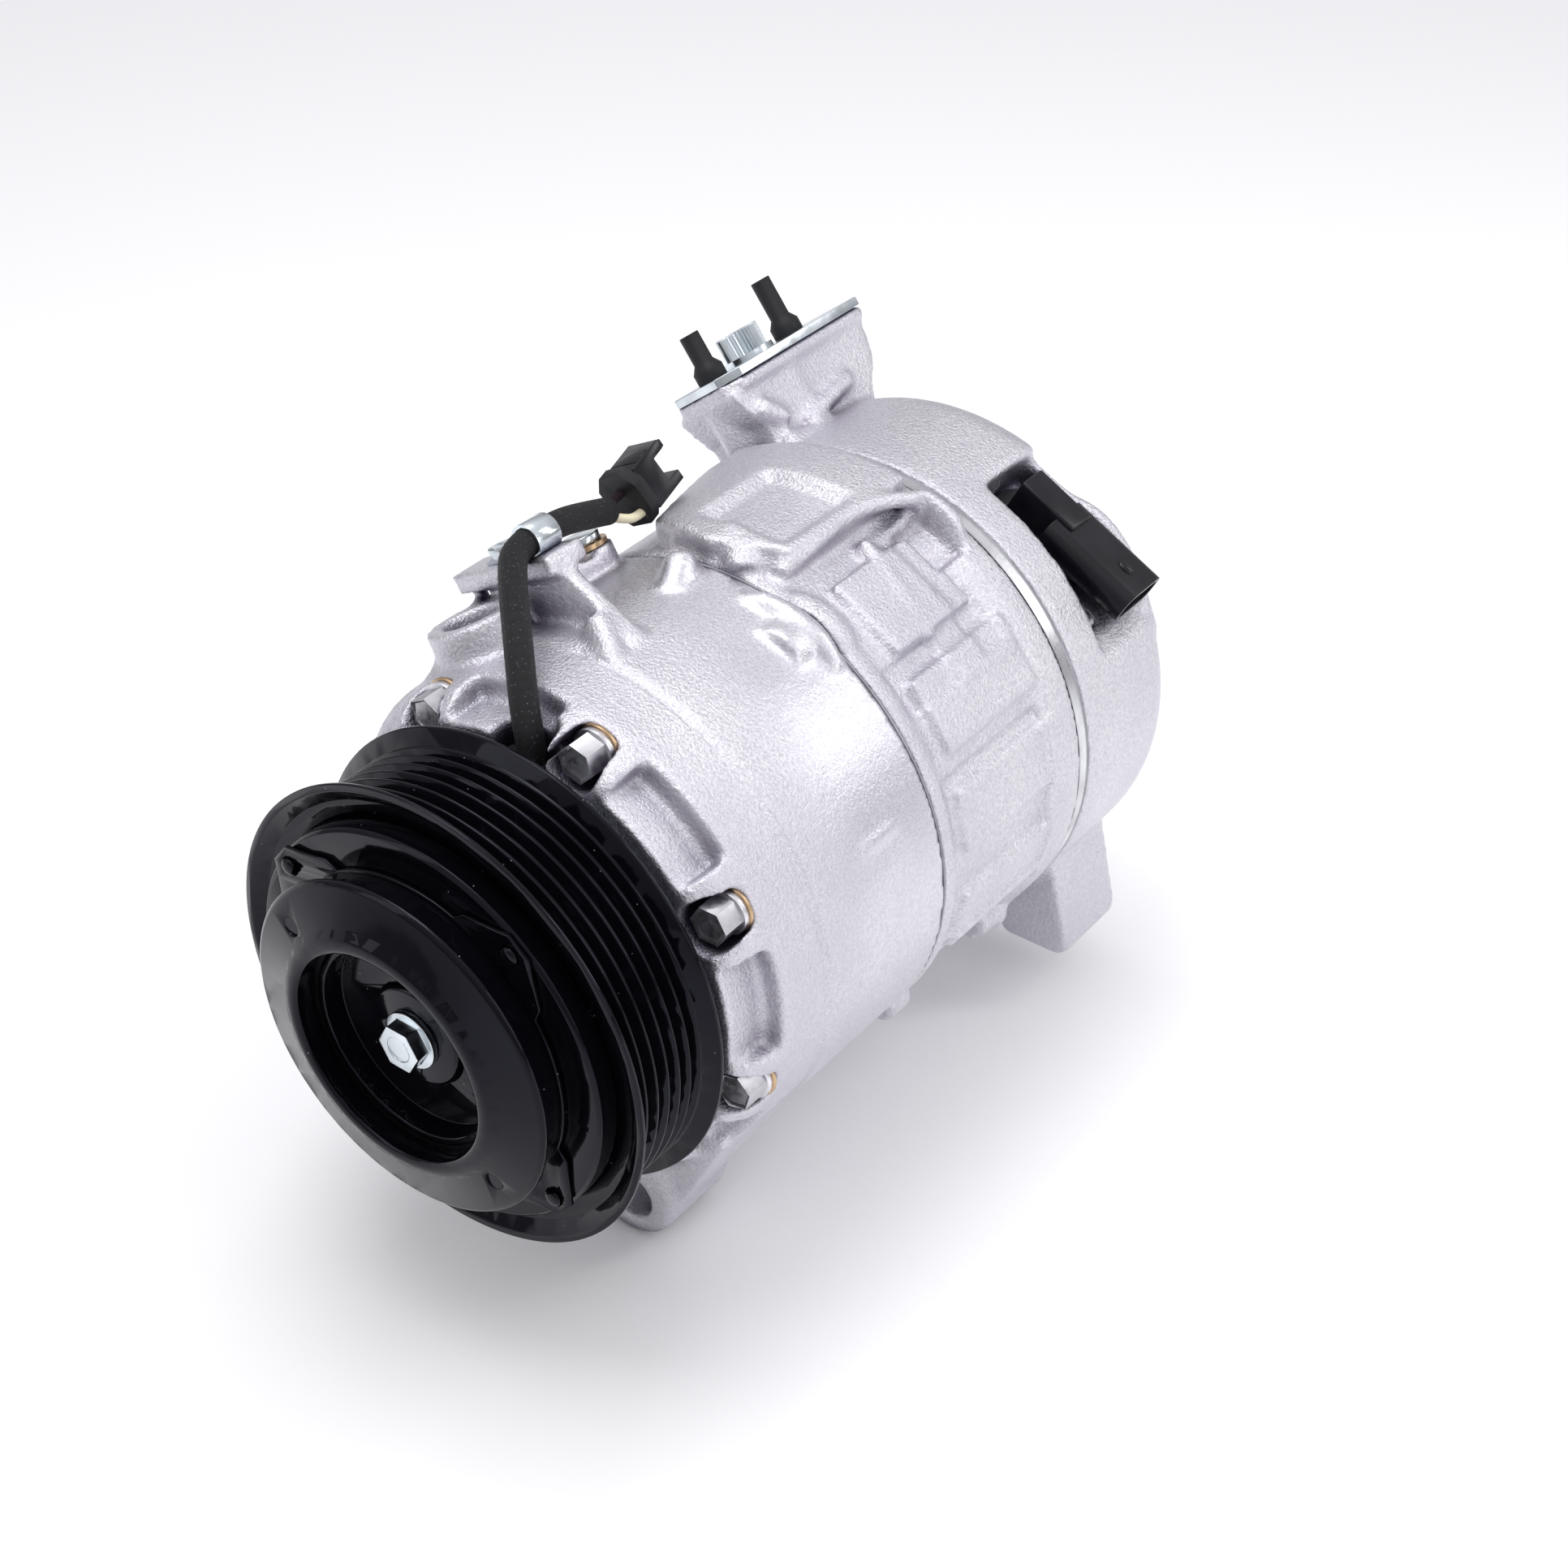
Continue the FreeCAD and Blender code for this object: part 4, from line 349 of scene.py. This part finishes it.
floorLow = cadBox[0][2]
bm = bmesh.new()
bmesh.ops.create_grid(bm, x_segments=8, y_segments=8, size=3.0,
                      matrix=Matrix.Translation((0, 0, floorLow)))
floorMesh = bpy.data.meshes.new("studioFloor")
bm.to_mesh(floorMesh)
bm.free()
studioFloor = bpy.data.objects.new("studioFloor", floorMesh)
bpy.context.scene.collection.objects.link(studioFloor)
paper = newFinish("paleFloor", (0.97, 0.97, 0.98), rough=0.85)
relief(paper, (pattern(paper, "ShaderNodeTexNoise", 30, Detail=2.0), 0.02))
floorMesh.materials.append(paper)

for name, node in nodes.items():  # every CAD piece takes its finish by slot
    for slotPlace in node.material_slots:
        key = slotPlace.material.name.split(".")[0]
        slotPlace.material = finish[key]
print("finishes ready")


def bodyOf(name):
    return body_of(nodes[name])[0]


def mergedCopy(*sources):
    bm = bmesh.new()
    for source in sources:
        bm.from_mesh(nodes[source].data)
    bmesh.ops.remove_doubles(bm, verts=bm.verts, dist=3e-6)
    return bm


def addPiece(name, bm, body, material, stands=(), edge=0.0, sharp=38):
    mesh = bpy.data.meshes.new(name)
    bm.to_mesh(mesh)
    bm.free()
    mesh.materials.clear()
    mesh.materials.append(material)
    for face in mesh.polygons:
        face.use_smooth = True
        face.material_index = 0
    piece = bpy.data.objects.new(name, mesh)
    bpy.context.scene.collection.objects.link(piece)
    if edge:
        rounding = piece.modifiers.new("edges", "BEVEL")
        rounding.width = edge * mm
        rounding.segments = 2
        rounding.limit_method = "ANGLE"
        rounding.angle_limit = math.radians(sharp)
        rounding.harden_normals = True
    else:
        mesh.set_sharp_from_angle(angle=math.radians(sharp))
    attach(piece, body)
    if stands:
        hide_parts(*stands)
    return piece


def rounded(name, node, slotName, edge, material=None, sharp=38, dish=0.0):
    bm = mergedCopy(node)
    bmesh.ops.dissolve_limit(bm, angle_limit=math.radians(1.2), verts=bm.verts, edges=bm.edges)
    if dish:  # hollows the front of a hexagon head
        heads = [face for face in bm.faces if len(face.verts) == 6 and face.normal.y < -0.99]
        bmesh.ops.inset_individual(bm, faces=heads, thickness=dish * mm, depth=-dish * 0.7 * mm)
    return addPiece(name, bm, bodyOf(node), material or finish[slotName], (node,),
                    edge, sharp)


def polar(turn, y, r):  # a spot by its angle from +X, its place along the shaft and its radius
    return Vector((r * math.cos(math.radians(turn)), y, r * math.sin(math.radians(turn)))) * mm


def ridge(bm, route, radius):  # a round-topped cast rib through (turn, y, r, share of radius)
    line = bpy.data.curves.new("ridge", "CURVE")
    line.dimensions = "3D"
    line.bevel_depth = radius * mm
    line.bevel_resolution = 3
    line.use_fill_caps = True
    spline = line.splines.new("NURBS")
    spline.points.add(len(route) - 1)
    for point, (turn, y, r, share) in zip(spline.points, route):
        point.co = (*polar(turn, y, r), 1)
        point.radius = share
    spline.order_u = 3
    spline.use_endpoint_u = True
    holder = bpy.data.objects.new("ridge", line)
    mesh = bpy.data.meshes.new_from_object(holder)
    bm.from_mesh(mesh)
    bpy.data.objects.remove(holder)
    bpy.data.meshes.remove(mesh)


def lump(bm, turn, y, r, size):  # an egg-shaped boss, size along (round the barrel, shaft, radius)
    place = Matrix.Translation(polar(turn, y, r))
    lean = Matrix.Rotation(math.radians(90 - turn), 4, "Y")
    grow = Matrix.Diagonal((*(Vector(size) * mm), 1))
    bmesh.ops.create_icosphere(bm, subdivisions=3, radius=1.0, matrix=place @ lean @ grow)


def easing(value, low, high, soft):  # 1 inside the span, fading to 0 over soft
    rise = min(1.0, max(0.0, (value - low + soft) / soft))
    fall = min(1.0, max(0.0, (high + soft - value) / soft))
    both = min(rise, fall)
    return both * both * (3 - 2 * both)


def dent(bm, turns, along, depth, soft, band=(61.5, 71.0)):  # presses a panel into the skin
    for vert in bm.verts:
        y = vert.co.y / mm
        if not along[0] - soft < y < along[1] + soft:
            continue
        r = math.hypot(vert.co.x, vert.co.z) / mm
        if not band[0] < r < band[1]:
            continue
        turn = math.degrees(math.atan2(vert.co.z, vert.co.x))
        wide = math.degrees(soft / r)
        press = easing(turn, turns[0], turns[1], wide) * easing(y, along[0], along[1], soft)
        scale = 1 - press * depth / r
        vert.co.x *= scale
        vert.co.z *= scale


def solved(bm, kind, settings):  # the mesh after one modifier
    mesh = bpy.data.meshes.new("raw")
    bm.to_mesh(mesh)
    bm.free()
    holder = bpy.data.objects.new("raw", mesh)
    bpy.context.scene.collection.objects.link(holder)
    change = holder.modifiers.new("change", kind)
    for key, value in settings.items():
        setattr(change, key, value)
    graph = bpy.context.evaluated_depsgraph_get()
    result = bpy.data.meshes.new_from_object(holder.evaluated_get(graph))
    bpy.data.objects.remove(holder)
    made = bmesh.new()
    made.from_mesh(result)
    bpy.data.meshes.remove(result)
    return made


def recast(bm, voxel, rounds, keeps):  # fuses the lumps, then softens all but machined corners
    made = solved(bm, "REMESH", {"mode": "VOXEL", "voxel_size": voxel * mm})
    free = [vert for vert in made.verts if not keeps(vert.co / mm)]
    for _ in range(rounds):
        bmesh.ops.smooth_vert(made, verts=free, factor=0.5, use_axis_x=True, use_axis_y=True,
                              use_axis_z=True)
    return made


blockLow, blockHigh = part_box("cylinder_block")
blockFront = blockLow[1] / mm
blockBack = blockHigh[1] / mm
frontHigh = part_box("front_housing")[1]
frontCasting = {
    "voxel": 0.9, "rounds": 5, "kept": 0.62, "ends": (-1, frontHigh[1]),
    "ridges": [
        ([(95.5, 74.5, 59.5, 1), (95.0, 79.0, 63.2, 1), (98.0, 83.4, 65.0, 1)], 4.3),
        ([(84.0, 43.5, 59.0, 0.8), (89.0, 47.5, 62.4, 1), (96.0, 52.0, 65.5, 1.1)], 3.3),
        ([(82.0, 82.0, 60.6, 0.8), (79.0, 84.6, 63.4, 1), (67.0, 84.8, 64.6, 1),
          (61.0, 84.6, 63.8, 1), (56.0, 84.0, 62.0, 0.8)], 2.7),
        ([(76.0, 79.0, 60.4, 0.7), (70.0, 82.0, 63.0, 1), (66.0, 84.6, 64.4, 1)], 2.4),
    ],
    "lumps": [],
    "dents": [((-75, 95), (43.3, 43.9), 0.35, 0.9, (59.5, 64.0))],
}
blockCasting = {
    "voxel": 0.95, "rounds": 5, "kept": 0.74, "ends": (blockLow[1], blockHigh[1]),
    "ridges": [
        ([(86.0, blockFront + 2.0, 62.5, 1), (89.5, blockFront + 6.0, 64.8, 1),
          (95.5, blockFront + 11.5, 66.0, 1), (99.0, blockFront + 17.0, 64.5, 0.8)], 4.6),
        ([(80.2, blockFront + 6.0, 64.0, 1), (79.9, blockFront + 19.0, 66.8, 1),
          (80.8, blockFront + 33.5, 67.2, 1), (76.7, blockFront + 46.0, 67.6, 1),
          (72.7, blockBack - 2.6, 67.2, 1)], 2.2),
        ([(72.7, blockBack - 3.0, 66.6, 1), (68.0, blockBack - 2.6, 66.4, 1),
          (64.5, blockBack - 3.0, 64.8, 1), (62.0, blockBack - 6.0, 63.2, 0.8)], 2.4),
        ([(75.0, blockFront + 30.5, 63.4, 1), (63.7, blockFront + 27.2, 63.4, 1),
          (50.0, blockFront + 23.8, 62.9, 0.8)], 2.2),
        ([(39.8, blockFront + 24.2, 64.0, 1), (38.3, blockFront + 44.8, 64.0, 1)], 1.3),
        ([(112.0, blockBack - 8.5, 65.6, 1), (95.0, blockBack - 14.5, 66.4, 1),
          (86.4, blockBack - 17.0, 66.6, 1), (81.0, blockBack - 19.0, 66.4, 1)], 2.2),
        ([(104.0, blockFront + 3.0, 64.0, 1), (105.5, blockFront + 20.0, 66.2, 1),
          (102.5, blockFront + 31.0, 66.6, 1)], 2.6),
    ],
    "lumps": [(66.5, blockFront + 3.2, 60.6, (10.5, 5.6, 5.6))],
    "dents": [
        ((84.5, 101.0), (blockFront + 13, blockFront + 34), 2.4, 4.0),
        ((61.5, 72.0), (blockBack - 13.5, blockBack - 6.5), 3.4, 2.4),
        ((39.8, 50.0), (blockFront + 6.6, blockFront + 22.6), 0.9, 1.2),
        ((41.5, 73.0), (blockFront + 35.0, blockBack - 13.0), 0.9, 1.2),
        ((-16.0, 23.8), (blockFront + 5.4, blockBack - 12.0), 0.9, 1.0),
        ((-44.0, -20.0), (blockFront + 5.4, blockBack - 12.0), 0.9, 1.0),
    ],
}
rearCasting = {
    "voxel": 1.0, "rounds": 9, "kept": None, "ends": (-1, 1),
    "ridges": [
        ([(60.0, 185.4, 54.5, 0.8), (52.0, 185.2, 58.6, 1), (45.0, 185.2, 60.8, 1),
          (34.0, 185.2, 61.2, 1), (18.0, 184.6, 61.0, 0.8)], 2.7),
        ([(128.0, 147.4, 64.0, 1), (128.0, 147.4, 79.0, 1)], 3.5),
        ([(118.5, 155.5, 70.0, 1), (119.0, 152.0, 73.0, 1), (119.2, 149.2, 76.2, 0.9)], 2.9),
        ([(117.5, 162.0, 66.5, 1), (117.5, 172.0, 69.0, 1), (117.7, 182.5, 70.5, 0.8)], 2.2),
        ([(117.3, 150.5, 64.5, 1), (116.6, 158.0, 63.5, 1), (115.6, 170.0, 60.5, 1),
          (113.0, 189.5, 56.0, 0.8)], 3.0),
        ([(106.0, 178.0, 61.0, 0.8), (112.0, 184.5, 59.5, 1), (114.0, 191.0, 56.0, 1)], 2.4),
    ],
    "lumps": [(128.0, 155.5, 68.5, (10.5, 9.0, 11.5))],
    "dents": [],
}


def keepFront(spot):
    r = math.hypot(spot.x, spot.z)
    return r < 51.5 or spot.y > 86.4


def keepBlock(spot):
    r = math.hypot(spot.x, spot.z)
    return r < 60.0 or spot.y < blockFront + 0.5 or spot.y > blockBack - 0.5


def keepRear(spot):
    r = math.hypot(spot.x, spot.z)
    return spot.y < 148.4 or (r < 54.5 and spot.y < 160.0)


for name, node, casting, keeps, skin in (
        ("frontCasting", "front_housing", frontCasting, keepFront, barrelSkin),
        ("blockCasting", "cylinder_block", blockCasting, keepBlock, finish["cast_aluminium"]),
        ("rearCasting", "rear_housing", rearCasting, keepRear, finish["cast_aluminium"])):
    bm = mergedCopy(node)
    for route, radius in casting["ridges"]:
        ridge(bm, route, radius)
    for turn, y, r, size in casting["lumps"]:
        lump(bm, turn, y, r, size)
    bm = recast(bm, casting["voxel"], casting["rounds"], keeps)
    for vert in bm.verts:  # lumps end flat on the joint faces
        vert.co.y = min(casting["ends"][1], max(casting["ends"][0], vert.co.y))
    for panel in casting["dents"]:
        dent(bm, *panel)
    if casting["kept"]:
        bm = solved(bm, "DECIMATE", {"ratio": casting["kept"]})
    addPiece(name, bm, bodyOf(node), skin, (node,), sharp=60)
print("castings done")

rounded("pulleyFinished", "clutch_pulley", "black_steel", 0.22)
rounded("frontPlateFinished", "front_plate", "black_steel", 0.35)
rounded("springFinished", "leaf_spring", "black_steel", 0.25)
pullFace = rounded("armatureFinished", "armature", "black_steel", 0.35)
pull = {"skin": 0.01, "short": 0.03}  # the pulled disc stops this short of the pulley
armatureBack = max(vert.co.y for vert in pullFace.data.vertices)
for vert in pullFace.data.vertices:
    if vert.co.y > armatureBack - pull["skin"] * mm:
        vert.co.y -= pull["short"] * mm
rounded("hubFinished", "clutch_hub", "black_steel", 0.30)
rounded("hubBoltFinished", "hub_bolt", "zinc_steel", 0.30, dish=0.9)

rivet = {"count": 4, "start": 51.5, "circle": 45.0, "radius": 2.1, "tall": 0.9}
rivetLow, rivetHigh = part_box("armature_rivets")
bm = bmesh.new()
for step in range(rivet["count"]):
    foot = polar(rivet["start"] + 360 / rivet["count"] * step, 0, rivet["circle"])
    foot.y = rivetLow[1] + rivet["tall"] * mm
    shank = rivetHigh[1] - foot.y
    bmesh.ops.create_uvsphere(
        bm, u_segments=32, v_segments=16, radius=1.0,
        matrix=Matrix.Translation(foot) @ Matrix.Diagonal(
            (rivet["radius"] * mm, rivet["tall"] * mm, rivet["radius"] * mm, 1)))
    bmesh.ops.create_cone(
        bm, cap_ends=True, segments=32, radius1=rivet["radius"] * 0.9 * mm,
        radius2=rivet["radius"] * 0.9 * mm, depth=shank,
        matrix=Matrix.Translation(foot + Vector((0, shank / 2, 0)))
        @ Matrix.Rotation(math.pi / 2, 4, "X"))
addPiece("armatureRivets", bm, bodyOf("armature_rivets"), finish["black_steel"],
         ("armature_rivets",))
print("clutch done")

rounded("boltsFinished", "through_bolts", "bolt_steel", 0.30, dish=0.9)
rounded("washersFinished", "sealing_washers", "copper", 0.20)
rounded("coverPlateFinished", "port_cover_plate", "zinc_steel", 0.30)
rounded("capsFinished", "port_caps", "black_rubber", 0.40)
rounded("drainFinished", "drain_plug", "zinc_steel", 0.30)
rounded("clampFinished", "lead_clamp", "zinc_steel", 0.18)
rounded("clampScrewFinished", "clamp_screw", "zinc_steel", 0.12)
rounded("plugFinished", "lead_connector", "black_plastic", 0.25)
rounded("sealFinished", "lead_connector_seal", "black_rubber", 0.60)


def seat(turn):  # local X runs across, Y along the shaft, Z outward at that angle
    a = math.radians(turn)
    return Matrix(((math.sin(a), 0, math.cos(a), 0), (0, 1, 0, 0),
                   (-math.cos(a), 0, math.sin(a), 0), (0, 0, 0, 1)))


def box(bm, low, high):  # low and high corners in millimetres
    middle = (Vector(low) + Vector(high)) / 2 * mm
    size = (Vector(high) - Vector(low)) * mm
    place = Matrix.Translation(middle) @ Matrix.Diagonal((*size, 1))
    return bmesh.ops.create_cube(bm, size=1.0, matrix=place)["verts"]


def bevelEdges(bm, edges, offset, segments):
    bmesh.ops.bevel(bm, geom=edges, offset=offset * mm, segments=segments, profile=0.5,
                    affect="EDGES", material=-1)


def softBox(bm, low, high, offset, segments):
    made = box(bm, low, high)
    bevelEdges(bm, list({e for v in made for e in v.link_edges}), offset, segments)


capScrew = {"turn": 128.0, "place": 166.2, "seat": 86.0, "flange": 6.9, "flangeTall": 1.4,
            "head": 5.9, "teeth": 40, "tooth": 0.45, "key": 2.75, "keyDeep": 3.2,
            "shank": 3.9, "shankLong": 16, "shankDown": 7.5, "rim": 0.5, "rimTall": 0.35,
            "land": 1.6}

outward = seat(capScrew["turn"]).col[2].to_3d()
screwTop = max(vert.co.dot(outward) for vert in nodes["port_screw"].data.vertices) / mm
screwBase = capScrew["seat"] + capScrew["flangeTall"]
bm = bmesh.new()
at = Matrix.Translation(Vector((0, capScrew["place"], 0)) * mm)
bmesh.ops.create_cone(
    bm, cap_ends=True, segments=48, radius1=capScrew["flange"] * mm,
    radius2=capScrew["flange"] * mm, depth=capScrew["flangeTall"] * mm,
    matrix=at @ Matrix.Translation((0, 0, (capScrew["seat"] + capScrew["flangeTall"] / 2) * mm)))
bmesh.ops.create_cone(
    bm, cap_ends=True, segments=24, radius1=capScrew["shank"] * mm,
    radius2=capScrew["shank"] * mm, depth=capScrew["shankLong"] * mm,
    matrix=at @ Matrix.Translation((0, 0, (capScrew["seat"] - capScrew["shankDown"]) * mm)))
head = bmesh.ops.create_cone(
    bm, cap_ends=True, segments=capScrew["teeth"] * 2, radius1=capScrew["head"] * mm,
    radius2=capScrew["head"] * mm, depth=(screwTop - screwBase) * mm,
    matrix=at @ Matrix.Translation((0, 0, (screwTop + screwBase) / 2 * mm)))
centre = Vector((0, capScrew["place"] * mm, 0))
for vert in head["verts"]:  # the knurl: every other edge stands lower
    spoke = (vert.co - centre) * Vector((1, 1, 0))
    if round(math.atan2(spoke.y, spoke.x) / math.pi * capScrew["teeth"]) % 2:
        vert.co -= spoke.normalized() * capScrew["tooth"] * mm
bm.faces.ensure_lookup_table()
crown = max(bm.faces, key=lambda face: face.calc_center_median().z)
bmesh.ops.inset_region(bm, faces=[crown], thickness=capScrew["rim"] * mm,
                       depth=capScrew["rimTall"] * mm)
bmesh.ops.inset_region(bm, faces=[crown], thickness=capScrew["land"] * mm, depth=0)
for vert in crown.verts:  # the key hole is six-sided
    spoke = (vert.co - centre) * Vector((1, 1, 0))
    turn = (math.degrees(math.atan2(spoke.y, spoke.x)) % 60) - 30
    vert.co += spoke.normalized() * (capScrew["key"] * mm / math.cos(math.radians(turn))
                                     - spoke.length)
deep = bmesh.ops.extrude_face_region(bm, geom=[crown])
bmesh.ops.translate(bm, verts=[v for v in deep["geom"] if isinstance(v, bmesh.types.BMVert)],
                    vec=(0, 0, -capScrew["keyDeep"] * mm))
bmesh.ops.delete(bm, geom=[crown], context="FACES_ONLY")
bmesh.ops.transform(bm, matrix=seat(capScrew["turn"]), verts=bm.verts)
addPiece("capScrew", bm, bodyOf("port_screw"), finish["zinc_steel"], ("port_screw",),
         sharp=30)

plug = {
    "turn": 62.0, "head": (2.0, 171.5, 50.0, 55.0, 8.6),
    "block": ((-3.0, 169.4, 52.0), (14.0, 177.8, 64.0)),
    "tube": ((9.0, 165.4, 53.4), (36.0, 181.8, 63.0)), "wall": 1.3, "deep": 14.0,
    "corner": 3.9, "foot": ((9.5, 168.0, 50.4), (21.0, 177.4, 55.0)),
    "catch": ((29.0, 173.6, 62.9), (2.4, 1.5, 0.9)),  # its place and half sizes
}

bm = bmesh.new()
across, along, low, high, radius = plug["head"]
for bottom, top, r in ((low, high - 2.2, radius), (high - 2.6, high - 1.2, radius - 1.0),
                       (high - 1.6, high, radius)):
    bmesh.ops.create_cone(
        bm, cap_ends=True, segments=64, radius1=r * mm, radius2=r * mm, depth=(top - bottom) * mm,
        matrix=Matrix.Translation(Vector((across, along, (bottom + top) / 2)) * mm))
bevelEdges(bm, [e for e in bm.edges if e.calc_length() < 1.2 * mm], 0.25, 2)
softBox(bm, *plug["block"], 0.7, 3)
softBox(bm, *plug["foot"], 0.9, 3)
tube = bmesh.new()
box(tube, *plug["tube"])
longEdges = [e for e in tube.edges if abs((e.verts[0].co - e.verts[1].co).x) > 20 * mm]
bevelEdges(tube, longEdges, plug["corner"], 6)
mouth = max(tube.faces, key=lambda face: face.calc_center_median().x)
bmesh.ops.inset_region(tube, faces=[mouth], thickness=plug["wall"] * mm, depth=0)
inner = bmesh.ops.extrude_face_region(tube, geom=[mouth])
bmesh.ops.translate(tube, verts=[v for v in inner["geom"] if isinstance(v, bmesh.types.BMVert)],
                    vec=(-plug["deep"] * mm, 0, 0))
bmesh.ops.delete(tube, geom=[mouth], context="FACES_ONLY")
tubeMesh = bpy.data.meshes.new("tube")
tube.to_mesh(tubeMesh)
tube.free()
bm.from_mesh(tubeMesh)
bpy.data.meshes.remove(tubeMesh)
bmesh.ops.create_icosphere(  # the catch for the mating plug's latch
    bm, subdivisions=3, radius=1.0,
    matrix=Matrix.Translation(Vector(plug["catch"][0]) * mm)
    @ Matrix.Diagonal((*(Vector(plug["catch"][1]) * mm), 1)))
bmesh.ops.transform(bm, matrix=seat(plug["turn"]), verts=bm.verts)
addPiece("valvePlug", bm, bodyOf("valve_connector"), finish["black_plastic"],
         ("valve_connector",), edge=0.18, sharp=40)

tabs = {"turn": 118.0, "foot": (3.2, 92.2, 74.7), "tilt": 16.7, "spots": (-3.0, 0.0, 3.0),
        "low": (-0.35, 13.2, 2.6), "high": (0.35, 16.4, 4.6),
        "bar": ((-4.2, 6.0, 5.2), (4.2, 11.0, 6.0))}

bm = bmesh.new()
for across in tabs["spots"]:
    softBox(bm, Vector(tabs["low"]) + Vector((across, 0, 0)),
            Vector(tabs["high"]) + Vector((across, 0, 0)), 0.12, 2)
softBox(bm, *tabs["bar"], 0.25, 2)
bmesh.ops.transform(bm, verts=bm.verts, matrix=seat(tabs["turn"])
                    @ Matrix.Translation(Vector(tabs["foot"]) * mm)
                    @ Matrix.Rotation(math.radians(tabs["tilt"]), 4, "X"))
addPiece("plugTabs", bm, bodyOf("lead_connector"), finish["black_plastic"])
print("small pieces done")

lead = {
    "sleeve": [(1.6, 19.9, 45.0), (2.0, 19.9, 53.5), (-0.4, 21.0, 61.0), (-8.2, 28.6, 70.4),
               (-21.4, 41.8, 77.0), (-26.8, 49.0, 77.5), (-26.8, 62.0, 77.5),
               (-28.6, 73.0, 73.8), (-30.2, 83.5, 69.6)],
    "dark": [(-30.9, 83.5, 70.9), (-31.7, 87.0, 69.9), (-33.0, 90.5, 69.3), (-33.8, 94.6, 69.6)],
    "cream": [(-29.6, 83.5, 68.3), (-28.6, 87.0, 66.5), (-28.0, 90.5, 65.2), (-28.5, 94.6, 65.4)],
    "sleeveRadius": 3.2, "wireRadius": 1.1,
}


def leadCurve(name, route, radius):
    line = bpy.data.curves.new(name, "CURVE")
    line.dimensions = "3D"
    line.resolution_u = 16
    line.bevel_depth = radius * mm
    line.bevel_resolution = 8
    line.use_fill_caps = True
    spline = line.splines.new("NURBS")
    spline.points.add(len(route) - 1)
    for point, spot in zip(spline.points, route):
        point.co = (*(Vector(spot) * mm), 1)
    spline.order_u = 3
    spline.use_endpoint_u = True
    holder = bpy.data.objects.new(name, line)
    bpy.context.scene.collection.objects.link(holder)
    return holder


def curveLine(holder):
    plain = holder.data.copy()
    plain.bevel_depth = 0
    shown = bpy.data.objects.new("plain", plain)
    mesh = bpy.data.meshes.new_from_object(shown)
    spots = [vert.co.copy() for vert in mesh.vertices]
    bpy.data.objects.remove(shown)
    return spots


for name, key, node, slotName, radius in (
        ("leadSleeve", "sleeve", "coil_lead_sleeve", "braided_sleeve", lead["sleeveRadius"]),
        ("darkWire", "dark", "coil_lead_wire_dark", "dark_insulation", lead["wireRadius"]),
        ("creamWire", "cream", "coil_lead_wire_light", "light_insulation", lead["wireRadius"])):
    cord = leadCurve(name, lead[key], radius)
    cord.data.materials.append(finish[slotName])
    spots = curveLine(cord)
    if key == "sleeve":  # a mesh, so that the weave follows its own map
        mesh = bpy.data.meshes.new_from_object(cord)
        mesh.name = name
        closed = bmesh.new()
        closed.from_mesh(mesh)
        bmesh.ops.remove_doubles(closed, verts=closed.verts, dist=1e-6)
        closed.to_mesh(mesh)
        closed.free()
        bpy.data.objects.remove(cord)
        cord = bpy.data.objects.new(name, mesh)
        bpy.context.scene.collection.objects.link(cord)
    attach(cord, bodyOf(node))
    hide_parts(node)
print("lead done")
